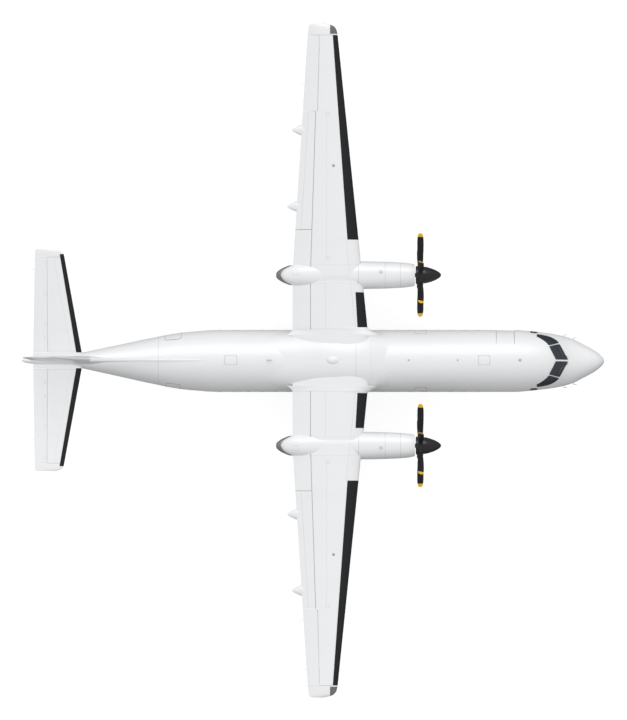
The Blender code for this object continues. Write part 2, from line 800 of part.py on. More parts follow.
def level_prism(name, corners):
    """A cutter over plan corners, through the wing or the tailplane."""
    return plan_prism(name, corners, 2.0, 5.0)


def fin_prism(name, corners):
    """A cutter over side corners, through the fin."""
    return side_prism(name, corners, 1.0)


def flap_track(side, y, tip_x):
    """A flattened pod under the flap, pointed behind it."""
    rings = []
    for part, size in TRACK_SIZES:
        x = tip_x + TRACK_LENGTH * (1 - part)
        middle = wing_point(x, y, -TRACK_DROP).z
        drop = TRACK_HALF_HEIGHT * size
        rings.append(ring(x, side * y, TRACK_HALF_WIDTH * size, middle - drop, middle + drop, 10))
    return loft("track", rings)


def nacelle_rings(side, grow=0.0):
    return body_rings(NACELLE, grow, side * NACELLE_Y, NACELLE_SIDES, NACELLE_SQUARENESS)


def build_nacelle(side):
    """The rear nacelle with its wheel well and exhaust, the hollow cowl and the engine block in it."""
    name = side_name(side)
    y = side * NACELLE_Y
    nacelle = loft("nacelle_" + name, nacelle_rings(side), "white_paint")
    back, front, half_width, roof = MAIN_WELL
    well = box("main_well_" + name, (back, y - half_width, 0.0), (front, y + half_width, roof))
    pipe_table = [*EXHAUST[:-1], (EXHAUST_SPACE_X, *EXHAUST[-1][1:])]
    pipe_space = loft("pipe_space_" + name, body_rings(pipe_table, FIT, y, EXHAUST_SIDES))
    cut(nacelle, well, pipe_space)
    exhaust = loft("exhaust_" + name, body_rings(EXHAUST, 0.0, y, EXHAUST_SIDES), "bare_metal")
    cut(exhaust, loft("exhaust_hollow_" + name, body_rings(EXHAUST_HOLLOW, 0.0, y, EXHAUST_SIDES)))
    cowl_table = [(x + FIT if x == FIREWALL_X else x, w, low, high) for x, w, low, high in COWL]
    cowl_rings = body_rings(cowl_table, 0.0, y, NACELLE_SIDES, NACELLE_SQUARENESS)
    cowl = loft("cowl_" + name, cowl_rings, "white_paint")
    inner_table = [(x, w - COWL_WALL, low + COWL_WALL, high - COWL_WALL) for x, w, low, high in COWL[1:]]
    inner_table[-1] = (FIREWALL_X - ENGINE_LENGTH / 8, *inner_table[-1][1:])
    hollow = loft("cowl_space_" + name, body_rings(inner_table, 0.0, y, NACELLE_SIDES, NACELLE_SQUARENESS))
    hole_radius = PROP_SHAFT_RADIUS + SHAFT_HOLE_GAP
    hole_back = FIREWALL_X + ENGINE_LENGTH - 0.1
    ends = ((hole_back, y, PROP_Z), (PROP_X, y, PROP_Z))
    shaft_hole = rod("shaft_hole_" + name, *ends, hole_radius, sides=20)
    intake = loft("intake_" + name, body_rings(INTAKE, 0.0, y, 16))
    cut(cowl, hollow, shaft_hole, intake)
    low = PROP_Z - ENGINE_HALF_HEIGHT
    high = PROP_Z + ENGINE_HALF_HEIGHT
    ends = (FIREWALL_X + FIT, FIREWALL_X + ENGINE_LENGTH)
    loft("engine_" + name, [ring(x, y, ENGINE_HALF_WIDTH, low, high, 12) for x in ends], "bare_metal")


def blade_rings(number):
    """A blade's sections, as rings of points round a lens shape, at its place round the hub."""
    angle = BLADE_PHASE + 2 * math.pi * number / BLADE_COUNT
    outward = Vector((0, math.cos(angle), math.sin(angle)))
    around = Vector((0, -math.sin(angle), math.cos(angle)))
    rings = []
    for radius, chord, thickness, pitch in BLADE:
        along = Vector((1, 0, 0)) * math.sin(math.radians(pitch)) + around * math.cos(math.radians(pitch))
        face = outward.cross(along)
        points = []
        for step in range(BLADE_SIDES):
            turn = 2 * math.pi * step / BLADE_SIDES
            across = along * chord / 2 * math.cos(turn)
            points.append(outward * radius + across + face * thickness / 2 * math.sin(turn))
        rings.append(points)
    return rings


def build_propeller(side):
    name = side_name(side)
    centre = Vector((PROP_X, side * NACELLE_Y, PROP_Z))
    engine_front = FIREWALL_X + ENGINE_LENGTH
    shaft_x = engine_front + FIT
    shaft = ((PROP_BACK_X, PROP_SHAFT_RADIUS), (shaft_x, PROP_SHAFT_RADIUS), (shaft_x, 0.0))
    outline = ((PROP_FRONT_X, 0.0), *HUB_PROFILE, *shaft)
    drum = [(x - PROP_X, radius) for x, radius in outline]
    hub = turned("propeller_" + name, drum, (0, 0, 0), (1, 0, 0), 24, "black_paint")
    blades = [loft("blade_" + str(number), blade_rings(number)) for number in range(BLADE_COUNT)]
    join(hub, *blades)
    hub.location = centre
    nose = [(x - PROP_X, radius) for x, radius in (*SPINNER_PROFILE, (SPINNER_BACK_X, 0.0))]
    turned("spinner_" + name, nose, centre, (1, 0, 0), 24, "black_paint")


def tyre_outline(tyre):
    """Half a tyre's section and its mirror: bead, sidewall and a flat crown, as (across, radius)."""
    radius, width, rim, _ = tyre
    half = width / 2
    side = (
        (half * 0.62, rim + FIT),
        (half * 0.93, rim + (radius - rim) * 0.25),
        (half, rim + (radius - rim) * 0.52),
        (half * 0.92, rim + (radius - rim) * 0.80),
        (half * 0.68, radius * 0.985),
        (half * 0.34, radius),
    )
    return [*side, *[(-across, height) for across, height in reversed(side)], side[0]]


def rim_outline(tyre):
    """A wheel rim with dished faces, from the axle out and back, as (across, radius)."""
    radius, width, rim, _ = tyre
    half = width * 0.31
    outer = ((half * 0.35, 0.0), (half * 0.35, rim * 0.70), (half, rim * 0.86), (half, rim))
    return [*outer, *[(-across, height) for across, height in reversed(outer)]]


def build_wheels(name, tyre, x, y, steps):
    """A twin wheel: both rims and their axle as one body, and two tyres. It returns the axle height."""
    radius, _, _, spacing = tyre
    height = radius * math.cos(math.pi / steps)
    centre = Vector((x, y, height))
    flat = math.pi / steps
    axle = rod(name + "_wheels", (0, -spacing, 0), (0, spacing, 0), AXLE_RADIUS, "bare_metal", sides=16)
    rims = []
    for side in (1, -1):
        rims.append(turned("rim", rim_outline(tyre), (0, side * spacing, 0), (0, 1, 0), steps, None, flat))
        place = centre + Vector((0, side * spacing, 0))
        turned(name + "_tyre_" + side_name(side), tyre_outline(tyre), place, (0, 1, 0), steps, "rubber", flat)
    join(axle, *rims)
    axle.location = centre
    return centre


def build_main_gear(side):
    """The leg with its piston, axle block, torque link, brace and trunnion, on a pair of wheels."""
    name = side_name(side)
    y = side * NACELLE_Y
    centre = build_wheels("main_" + name, MAIN_TYRE, MAIN_AXLE_X, y, MAIN_STEPS)
    back, _, half_width, roof = MAIN_WELL
    up = Vector((0, 0, 1))
    top = Vector((MAIN_AXLE_X, y, roof - FIT))
    foot = Vector((back + 0.25, y, roof - BRACE_FOOT / 2))
    foot_half = Vector((BRACE_FOOT / 2, BRACE_FOOT / 2, BRACE_FOOT / 2 - FIT))
    across = Vector((0, half_width - FIT, 0))
    trunnion = top - up * TRUNNION_DROP
    leg = rod("main_leg_" + name, centre + up * LEG_START, top, LEG_RADIUS, "gear_grey", sides=16)
    pieces = [
        rod("piston", centre, centre + up * PISTON_TOP, PISTON_RADIUS, sides=12),
        box("axle_block", centre - AXLE_BLOCK, centre + AXLE_BLOCK),
        rod("brace", centre + up * BRACE_START, foot, BRACE_RADIUS, sides=10),
        box("brace_foot", foot - foot_half, foot + foot_half),
        box("torque_link", centre + TORQUE_LINK[0], centre + TORQUE_LINK[1]),
        rod("trunnion", trunnion - across, trunnion + across, TRUNNION_RADIUS, sides=12),
    ]
    join(leg, *pieces)
    cut(leg, axle_bore(name, centre))
    reach = (back + DOOR_PANEL, MAIN_AXLE_X - TRUNNION_DROP)
    build_doors("main_doors_" + name, reach, y, half_width, MAIN_DOOR_HEIGHTS)


def axle_bore(name, centre):
    across = Vector((0, 0.3, 0))
    return rod("bore_" + name, centre - across, centre + across, AXLE_RADIUS + BEARING_GAP, sides=16)


def build_doors(name, reach, y, half_width, heights):
    """Two open gear doors hanging in the well's sides, and the cross tube that works them."""
    start, end = reach
    top, knee, bottom = heights
    panels = []
    for side in (1, -1):
        outline = [
            (half_width - FIT, top),
            (half_width - FIT, knee),
            (half_width + DOOR_FLARE, bottom),
            (half_width + DOOR_FLARE - DOOR_PANEL, bottom),
            (half_width - DOOR_PANEL, knee),
            (half_width - DOOR_PANEL, top),
        ]
        rings = [[Vector((x, y + side * across, z)) for across, z in outline] for x in (start, end)]
        panels.append(loft("panel", rings))
    middle = Vector((end - DOOR_FLARE, y, top - DOOR_FLARE))
    across = Vector((0, half_width - DOOR_PANEL / 2, 0))
    tube = rod(name, middle - across, middle + across, DOOR_TUBE_RADIUS, "white_paint", sides=8)
    join(tube, *panels)


def build_nose_gear():
    """The fixed upper leg and its brace, the steered strut and the nose doors."""
    centre = build_wheels("nose", NOSE_TYRE, NOSE_AXLE_X, 0.0, NOSE_STEPS)
    _, front, half_width, roof = NOSE_WELL
    low, high = NOSE_BRACE_Z
    collar = Vector((NOSE_AXLE_X, 0, COLLAR_Z))
    leg = rod("nose_leg", collar, (NOSE_AXLE_X, 0, roof - FIT), NOSE_LEG_RADIUS, "gear_grey", sides=16)
    brace = rod("nose_brace", (NOSE_AXLE_X, 0, low), (front - 0.03, 0, high), NOSE_BRACE_RADIUS, sides=10)
    foot = box("nose_brace_foot", (front - 0.10, -0.05, high - 0.07), (front - FIT, 0.05, high + 0.05))
    join(leg, brace, foot)
    under = collar - Vector((0, 0, FIT))
    strut = rod("nose_strut", centre, under, STRUT_RADIUS, "gear_grey", sides=16)
    block = box("nose_block", centre - NOSE_AXLE_BLOCK, centre + NOSE_AXLE_BLOCK)
    link = box("nose_link", centre + NOSE_LINK[0], centre + NOSE_LINK[1])
    collar_low = collar - Vector((0, 0, COLLAR_HEIGHT))
    join(strut, block, link, rod("nose_collar", collar_low, under, COLLAR_RADIUS, sides=16))
    cut(strut, axle_bore("nose", centre))
    reach = (front - DOOR_PANEL - NOSE_DOOR_LENGTH, front - DOOR_PANEL)
    build_doors("nose_doors", reach, 0.0, half_width, NOSE_DOOR_HEIGHTS)


def build_tail():
    body = loft("space_tail", body_rings(TAIL_CONE, FIT))
    fuselage = loft("space_fuselage_tail", body_rings(FUSELAGE, FIT))
    for side in (1, -1):
        whole = loft("whole_tailplane_" + side_name(side), surface_rings(TAILPLANE, tailplane_point, side))
        plane = copy_as("tailplane_" + side_name(side), whole, "white_paint")
        _, bay = control_surface(
            "elevator_" + side_name(side), whole, ELEVATOR, TAILPLANE, tailplane_point, level_prism, side
        )
        cut(plane, body, bay)
    whole = loft("whole_fin", surface_rings(FIN, fin_point))
    fin = copy_as("fin", whole, "white_paint")
    half = DORSAL_THICKNESS / 2
    dorsal = loft("dorsal", [[Vector((x, y, z)) for x, z in DORSAL_FIN] for y in (-half, half)])
    _, bay = control_surface("rudder", whole, RUDDER, FIN, fin_point, fin_prism)
    join(fin, dorsal)
    cut(fin, body, fuselage, bay)


def main():
    global PARTS, CUTTERS
    clear_scene()
    PARTS = new_collection("turboprop_airliner")
    CUTTERS = new_collection("cutters", hidden=True)
    build_fuselage()
    build_door()
    build_bodies()
    build_wings()
    for side in (1, -1):
        build_nacelle(side)
        build_propeller(side)
        build_main_gear(side)
    build_nose_gear()
    build_tail()
    bpy.context.view_layer.update()


main()
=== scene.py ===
import math

import bmesh
import bpy
import numpy as np
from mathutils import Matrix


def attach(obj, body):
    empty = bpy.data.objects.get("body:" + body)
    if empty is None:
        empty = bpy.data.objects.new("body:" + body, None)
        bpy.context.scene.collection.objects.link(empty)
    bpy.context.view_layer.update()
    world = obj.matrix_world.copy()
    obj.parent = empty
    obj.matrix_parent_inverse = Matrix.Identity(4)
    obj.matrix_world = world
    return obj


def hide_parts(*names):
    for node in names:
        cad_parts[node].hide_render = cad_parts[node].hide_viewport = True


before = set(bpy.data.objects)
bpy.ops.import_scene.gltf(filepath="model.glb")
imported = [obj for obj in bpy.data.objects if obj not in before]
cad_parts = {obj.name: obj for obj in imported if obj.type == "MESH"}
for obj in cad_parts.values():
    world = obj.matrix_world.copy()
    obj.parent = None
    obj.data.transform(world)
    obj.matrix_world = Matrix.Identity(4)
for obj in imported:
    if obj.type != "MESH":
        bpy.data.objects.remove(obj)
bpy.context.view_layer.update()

scene = bpy.context.scene

# sizes that the skins share with the solids, in metres: +x nose, +y left wing, +z up
# body columns: station x, half width, lowest z, highest z
noseTable = np.array((
    (12.550, 0.030, 1.520, 1.580),
    (12.500, 0.140, 1.410, 1.690),
    (12.410, 0.240, 1.300, 1.800),
    (12.250, 0.380, 1.180, 1.930),
    (12.000, 0.540, 1.050, 2.050),
    (11.600, 0.750, 0.905, 2.190),
))
hullTable = np.array((
    (11.60, 0.750, 0.905, 2.190),
    (11.25, 0.930, 0.810, 2.320),
    (10.96, 1.030, 0.750, 2.460),
    (10.60, 1.120, 0.700, 2.740),
    (10.20, 1.190, 0.650, 3.000),
    (9.75, 1.245, 0.600, 3.130),
    (9.20, 1.300, 0.560, 3.205),
    (8.70, 1.335, 0.530, 3.230),
    (-4.10, 1.335, 0.530, 3.230),
    (-4.90, 1.290, 0.575, 3.230),
    (-5.55, 1.235, 0.680, 3.230),
    (-6.20, 1.140, 0.840, 3.228),
    (-6.85, 1.010, 1.040, 3.225),
    (-7.50, 0.875, 1.270, 3.220),
    (-8.15, 0.730, 1.520, 3.215),
    (-8.80, 0.590, 1.780, 3.210),
    (-9.40, 0.460, 2.020, 3.200),
    (-9.90, 0.350, 2.220, 3.190),
))
coneTable = np.array((
    (-9.90, 0.350, 2.220, 3.190),
    (-10.50, 0.250, 2.420, 3.180),
    (-11.20, 0.200, 2.580, 3.160),
    (-11.90, 0.165, 2.730, 3.130),
    (-12.40, 0.100, 2.850, 3.080),
    (-12.55, 0.030, 2.930, 3.030),
))
humpTable = np.array((
    (4.20, 1.060, 0.960, 3.040),
    (3.60, 1.150, 0.930, 3.140),
    (3.20, 1.210, 0.910, 3.200),
    (2.85, 1.250, 0.900, 3.285),
    (2.50, 1.275, 0.900, 3.385),
    (2.10, 1.290, 0.900, 3.470),
    (1.70, 1.300, 0.900, 3.515),
    (1.20, 1.300, 0.900, 3.530),
    (0.50, 1.300, 0.900, 3.460),
    (-0.13, 1.300, 0.900, 3.350),
    (-0.70, 1.285, 0.900, 3.275),
    (-1.40, 1.250, 0.910, 3.215),
    (-2.20, 1.190, 0.930, 3.150),
    (-3.00, 1.120, 0.950, 3.060),
))
nacelleTable = np.array((
    (2.25, 0.590, 2.230, 3.440),
    (1.20, 0.590, 2.200, 3.390),
    (0.20, 0.570, 2.220, 3.370),
    (-0.40, 0.510, 2.340, 3.370),
    (-0.86, 0.440, 2.580, 3.325),
    (-1.10, 0.345, 2.740, 3.270),
    (-1.30, 0.205, 2.900, 3.200),
    (-1.40, 0.050, 3.020, 3.120),
))
cowlTable = np.array((
    (4.36, 0.455, 2.400, 3.430),
    (4.20, 0.495, 2.340, 3.475),
    (3.94, 0.530, 2.290, 3.500),
    (3.50, 0.557, 2.250, 3.505),
    (3.07, 0.575, 2.235, 3.490),
    (2.25, 0.590, 2.230, 3.440),
))
exhaustTable = np.array((
    (-0.85, 0.432, 2.562, 3.038),
    (-1.00, 0.425, 2.600, 3.030),
    (-1.20, 0.360, 2.660, 3.010),
    (-1.40, 0.265, 2.720, 2.980),
    (-1.54, 0.165, 2.770, 2.940),
    (-1.61, 0.095, 2.800, 2.910),
))
# lifting surface columns: span, leading edge x, trailing edge x, thickness over chord
wingTable = np.array((
    (0.00, 2.460, -0.900, 0.210),
    (3.80, 2.075, -0.900, 0.195),
    (13.98, 1.037, -0.255, 0.150),
    (14.20, 0.985, -0.228, 0.140),
    (14.36, 0.870, -0.208, 0.120),
    (14.45, 0.660, -0.170, 0.085),
    (14.50, 0.450, -0.040, 0.040),
))
tailTable = np.array((
    (0.08, -9.930, -12.070, 0.120),
    (4.57, -10.740, -11.980, 0.100),
    (4.70, -10.860, -11.972, 0.085),
    (4.78, -11.100, -11.900, 0.040),
))
finTable = np.array((
    (3.06, -8.860, -12.140, 0.112),
    (7.95, -11.050, -12.380, 0.105),
    (8.20, -11.220, -12.370, 0.085),
    (8.30, -11.420, -12.280, 0.050),
    (8.317, -11.600, -12.150, 0.025),
))
layout = {
    "nacelleY": 3.67,
    "propX": 4.60,
    "propZ": 2.99,
    "wingZ": 2.92,
    "wingDihedral": math.radians(2.5),
    "wingIncidence": math.radians(2.0),
    "wingPivotX": 0.80,
    "tailZ": 2.89,
    "tailDihedral": math.radians(6.0),
    "camber": 0.025,
    "flapGap": 0.003,
}


# shader maths: a Wire holds one socket, and arithmetic on it adds Math nodes
class Wire:
    def __init__(self, look, socket):
        self.look = look
        self.socket = socket

    def math(self, operation, *values, clamp=False):
        node = self.look.node("ShaderNodeMath", {"operation": operation, "use_clamp": clamp}, values)
        return Wire(self.look, node.outputs[0])

    def __add__(self, other):
        return self.math("ADD", self, other)

    def __radd__(self, other):
        return self.math("ADD", other, self)

    def __sub__(self, other):
        return self.math("SUBTRACT", self, other)

    def __rsub__(self, other):
        return self.math("SUBTRACT", other, self)

    def __mul__(self, other):
        return self.math("MULTIPLY", self, other)

    def __rmul__(self, other):
        return self.math("MULTIPLY", other, self)

    def __truediv__(self, other):
        return self.math("DIVIDE", self, other)

    def size(self):
        return self.math("ABSOLUTE", self)

    def root(self):
        return self.math("SQRT", self)

    def larger(self, other):
        return self.math("MAXIMUM", self, other)

    def clamp(self):
        return self.math("MULTIPLY", self, 1.0, clamp=True)

    def above(self, edge, soft=0.004):  # 0 below the edge and 1 above it, over a ramp soft wide
        return self.math("DIVIDE", self - edge + soft / 2, soft, clamp=True)

    def band(self, low, high, soft=0.004):  # 1 between low and high
        return self.above(low, soft) * (1 - self.above(high, soft))

    def line(self, at, width, soft=0.004):
        return self.band(at - width / 2, at + width / 2, soft)

    def repeat(self, step, width, soft=0.004):  # 1 on lines every step apart
        near = self.math("PINGPONG", self, step / 2)
        return 1 - near.above(width / 2, soft)


class Look:
    def __init__(self, name):
        self.material = bpy.data.materials.new(name)
        self.material.use_nodes = True
        self.tree = self.material.node_tree
        self.shader = self.tree.nodes["Principled BSDF"]

    def node(self, kind, settings=None, values=()):
        made = self.tree.nodes.new(kind)
        for key, setting in (settings or {}).items():
            if key == "stops":
                setStops(made.color_ramp, setting)
            else:
                setattr(made, key, setting)
        pairs = values.items() if isinstance(values, dict) else enumerate(values)
        for key, value in pairs:
            self.feed(made.inputs[key], value)
        return made

    def feed(self, socket, value):
        if isinstance(value, Wire):
            self.tree.links.new(value.socket, socket)
        elif hasattr(value, "is_output"):
            self.tree.links.new(value, socket)
        else:
            socket.default_value = value

    def place(self):  # object coordinates as three numbers, which are metres in the aircraft's frame
        if not hasattr(self, "axes"):
            coords = self.node("ShaderNodeTexCoord")
            parts = self.node("ShaderNodeSeparateXYZ", None, (coords.outputs["Object"],))
            self.coords = coords.outputs["Object"]
            self.axes = [Wire(self, parts.outputs[i]) for i in range(3)]
        return self.axes

    def noise(self, scale, detail=3.0, roughness=0.55, stretch=(1, 1, 1)):
        self.place()
        moved = self.node("ShaderNodeMapping", None, {"Vector": self.coords, "Scale": stretch})
        values = {"Vector": moved.outputs[0], "Scale": scale, "Detail": detail, "Roughness": roughness}
        return Wire(self, self.node("ShaderNodeTexNoise", None, values).outputs["Fac"])

    def mix(self, mask, under, over):  # under where the mask is 0, over where it is 1
        settings = {"data_type": "RGBA", "blend_type": "MIX"}
        values = {0: mask, 6: colour(under), 7: colour(over)}
        return self.node("ShaderNodeMix", settings, values).outputs[2]

    def bump(self, height, distance=0.002, strength=0.5):
        values = {"Height": height, "Distance": distance, "Strength": strength}
        self.feed(self.shader.inputs["Normal"], self.node("ShaderNodeBump", None, values).outputs[0])

    def finish(self, base, roughness, metallic=0.0, **others):
        self.feed(self.shader.inputs["Base Color"], colour(base))
        self.feed(self.shader.inputs["Roughness"], roughness)
        self.feed(self.shader.inputs["Metallic"], metallic)
        for key, value in others.items():
            self.feed(self.shader.inputs[key.replace("_", " ")], value)
        return self.material


def colour(value):
    return (*value, 1.0) if isinstance(value, tuple) and len(value) == 3 else value


def setStops(ramp, stops):
    for i, (position, tint) in enumerate(stops):
        element = ramp.elements[i] if i < 2 else ramp.elements.new(position)
        element.position = position
        element.color = colour(tint)


tints = {
    "white": (0.80, 0.81, 0.82),
    "grime": (0.66, 0.66, 0.65),
    "seam": (0.16, 0.165, 0.17),
    "boot": (0.014, 0.015, 0.016),
    "black": (0.013, 0.013, 0.015),
    "yellow": (0.72, 0.43, 0.02),
    "glass": (0.020, 0.026, 0.032),
    "gear": (0.42, 0.44, 0.45),
    "steel": (0.50, 0.50, 0.52),
    "rubber": (0.018, 0.018, 0.018),
}


def paint(look, seams, strength=0.5):
    # white enamel: colour = white dimmed by soft streaks, then by the seams, which on the wing include painted shade in
    # the flap gaps; bump = orange peel less the seams
    streaks = look.noise(0.8, 4.0, 0.6, (0.30, 1.6, 1.2))
    speck = look.noise(30.0, 2.0)
    stain = ((streaks - 0.50) * 1.2).clamp() * 0.30
    base = look.mix(stain, tints["white"], tints["grime"])
    base = look.mix(seams * strength, base, tints["seam"])
    look.bump(speck * 0.03 - seams, 0.0015, 0.30)
    return look.finish(base, 0.34 + stain * 0.4 + speck * 0.04, 0.0, Coat_Weight=0.10, Coat_Roughness=0.20)


def wingPaint(name):
    # seams at set spans and at set distances ahead of the trailing edge, with round caps between them; the flap gap
    # lines are dark joints drawn wider and darker as painted shade in the gaps
    look = Look(name)
    x, y, z = look.place()
    span = y.size()
    behind = 2.46 - span * 0.1018 - x
    ahead = x + 0.255 - (span - 13.98) * 0.0634
    seams = span.line(13.98, 0.022)
    seams = seams.larger(behind.line(0.525, 0.014) * span.band(1.32, 5.2) * 0.5)
    seams = seams.larger(x.line(0.52, 0.014) * span.band(1.34, 3.3) * 0.55)
    seams = seams.larger(x.line(0.56, 0.012) * span.band(4.36, 10.46) * 0.5)
    seams = seams.larger(span.line(1.34, 0.014) * x.band(-0.9, 2.0) * 0.6)
    seams = seams.larger(span.line(4.10, 0.012) * x.band(-0.9, 2.0) * 0.35)
    seams = seams.larger(span.line(3.30, 0.012) * x.band(-0.9, 2.0) * 0.35)
    seams = seams.larger(ahead.line(0.25, 0.014) * span.band(5.62, 10.71) * 0.6)
    flap = -0.13 + (span - 3.75) * 0.0317 - x
    # flap gaps and flap ends: partly a real dark joint and partly painted shade in the gaps, so drawn wide and strong
    seams = seams.larger((flap + 0.0015).line(0.0, 0.030) * span.band(3.75, 10.71) * 1.5)
    seams = seams.larger((x + 0.1315).line(0.0, 0.030) * span.band(1.32, 3.6) * 1.5)
    for at in (5.62, 10.70):
        seams = seams.larger(span.line(at, 0.026) * flap.above(0.0) * 1.5)
    for capX, capY, radius in ((0.62, 4.37, 0.085), (0.61, 10.57, 0.085)):
        away = ((x - capX) * (x - capX) + (span - capY) * (span - capY)).root()
        seams = seams.larger(away.line(radius, 0.018, 0.008) * 0.6)
    away = ((x - 0.86) * (x - 0.86) + (span - 8.36) * (span - 8.36)).root()
    seams = seams.larger((1 - away.above(0.065, 0.012)) * 1.4)
    return paint(look, seams)


def hullPaint(name):
    # one joint round the tail, and two long seams low on the sides
    look = Look(name)
    x, y, z = look.place()
    seams = x.line(-6.67, 0.016) * 0.6
    for at in (1.05, 2.78):
        seams = seams.larger(z.line(at, 0.008) * 0.15)
    return paint(look, seams)


def humpPaint(name):
    # the joint over the front spar and a row of screws ahead of it
    look = Look(name)
    x, y, z = look.place()
    seams = x.line(1.83, 0.016) * 0.8
    screws = x.line(2.49, 0.014) * y.repeat(0.07, 0.030) * (1 - y.size().above(0.86))
    return paint(look, seams.larger(screws * 0.8))


def plainPaint(name):
    look = Look(name)
    x, y, z = look.place()
    return paint(look, x.repeat(2.4, 0.008) * 0.15)


def finPaint(name):
    # ribs across the fin, its cap line and the spar line behind the leading edge
    look = Look(name)
    x, y, z = look.place()
    behind = -8.86 - (z - 3.06) * 0.4479 - x
    seams = z.repeat(1.15, 0.010) * 0.3
    seams = seams.larger(z.line(7.95, 0.016))
    seams = seams.larger(behind.line(0.55, 0.010) * z.above(3.4) * 0.4)
    return paint(look, seams)


def tailPaint(name):
    look = Look(name)
    x, y, z = look.place()
    span = y.size()
    behind = -9.93 - (span - 0.08) * 0.1804 - x
    seams = span.line(4.43, 0.018).larger(span.line(0.40, 0.014) * 0.6)
    hinge = x.band(-11.60, -11.47, 0.01)
    for at in (0.95, 1.53, 2.85, 4.18):
        seams = seams.larger(hinge * (span.line(at - 0.05, 0.014) + span.line(at + 0.05, 0.014)) * 0.8)
    seams = seams.larger(behind.line(0.45, 0.010) * span.band(0.3, 4.43) * 0.4)
    return paint(look, seams)


def nacellePaint(name):
    # joints round the cowl, its split line at propeller height, and a round filler port on top
    look = Look(name)
    x, y, z = look.place()
    side = y.size() - layout["nacelleY"]
    seams = x.line(1.94, 0.018)
    for at in (3.08, 3.74):
        seams = seams.larger(x.line(at, 0.016) * 0.8)
    seams = seams.larger(z.line(2.99, 0.014) * x.above(1.94) * 0.8)
    away = ((x - 2.90) * (x - 2.90) + (side - 0.11) * (side - 0.11)).root()
    port = (away.line(0.085, 0.020, 0.008) + (1 - away.above(0.035, 0.01)) * 1.5) * z.above(3.3)
    panelX = (x + 0.77).size()
    panelY = (side - 0.11).size()
    edge = panelX.larger(panelY)
    port = port.larger(edge.line(0.11, 0.016) * z.above(3.1) * 0.7)
    louvres = z.repeat(0.06, 0.022) * z.band(2.50, 2.80) * x.band(2.45, 2.85) * side.above(0.0)
    return paint(look, seams.larger(port).larger(louvres))


def bootRubber(name):
    # black rubber with inflatable tubes that run along the edge, shown by dulled ridges
    look = Look(name)
    dust = look.noise(3.0, 4.0, 0.6, (0.5, 0.5, 2.0))
    grain = look.noise(60.0, 2.0)
    base = look.mix((dust * 0.6).clamp(), tints["boot"], (0.020, 0.021, 0.022))
    look.bump(grain, 0.0008, 0.2)
    return look.finish(base, 0.52 + dust * 0.15, 0.0, Specular_IOR_Level=0.16)


def bladePaint(name):
    # matt black blades whose outer ends are yellow, by distance from the hub axis
    look = Look(name)
    x, y, z = look.place()
    across = y.size() - layout["nacelleY"]
    up = z - layout["propZ"]
    away = (across * across + up * up).root()
    scuff = look.noise(9.0, 4.0)
    base = look.mix(away.above(1.675, 0.01), (0.010, 0.010, 0.012), tints["yellow"])
    base = look.mix(((scuff - 0.55) * 1.5).clamp() * 0.15, base, (0.06, 0.06, 0.06))
    look.bump(scuff, 0.001, 0.2)
    return look.finish(base, 0.40 + scuff * 0.15, 0.0, Specular_IOR_Level=0.22)


def glossBlack(name):
    look = Look(name)
    haze = look.noise(3.0, 3.0)
    base = look.mix(haze * 0.4, tints["black"], (0.020, 0.020, 0.024))
    return look.finish(base, 0.26 + haze * 0.12, 0.0, Specular_IOR_Level=0.25, Coat_Weight=0.15, Coat_Roughness=0.12)


def glassLook(name, tint=tints["glass"]):
    look = Look(name)
    haze = look.noise(1.4, 2.0)
    base = look.mix(haze * 0.6, tint, (0.026, 0.032, 0.044))
    return look.finish(base, 0.06 + haze * 0.05, 0.0, Specular_IOR_Level=0.35, Coat_Weight=0.25, Coat_Roughness=0.03)


def metalLook(name, tint, rough=0.32, metallic=1.0, stretch=(1, 1, 1)):
    look = Look(name)
    grain = look.noise(22.0, 4.0, 0.6, stretch)
    soot = look.noise(2.3, 3.0)
    base = look.mix((soot * 0.5).clamp(), tint, tuple(0.6 * part for part in tint))
    look.bump(grain, 0.0008, 0.25)
    return look.finish(base, rough + grain * 0.16, metallic)


def rubberLook(name):
    look = Look(name)
    dust = look.noise(6.0, 4.0)
    base = look.mix((dust * 0.5).clamp(), tints["rubber"], (0.055, 0.052, 0.048))
    look.bump(dust, 0.001, 0.3)
    return look.finish(base, 0.72 + dust * 0.15)


def floorLook(name):
    # pale and slightly bright of itself, so that the aircraft's own shadow stays soft
    look = Look(name)
    haze = look.noise(0.25, 2.0)
    base = look.mix(haze * 0.2, (0.40, 0.40, 0.40), (0.38, 0.38, 0.38))
    return look.finish(base, 0.9, 0.0, Emission_Color=(1.0, 1.0, 1.0, 1.0), Emission_Strength=0.68)


def lampLook(name, tint):
    # a clear or tinted lens with faint rings
    look = Look(name)
    rings = look.noise(40.0, 1.0)
    base = look.mix(rings * 0.5, tint, tuple(0.5 * part for part in tint))
    look.bump(rings, 0.001, 0.3)
    return look.finish(base, 0.08 + rings * 0.08, 0.0, Coat_Weight=1.0, Coat_Roughness=0.03)


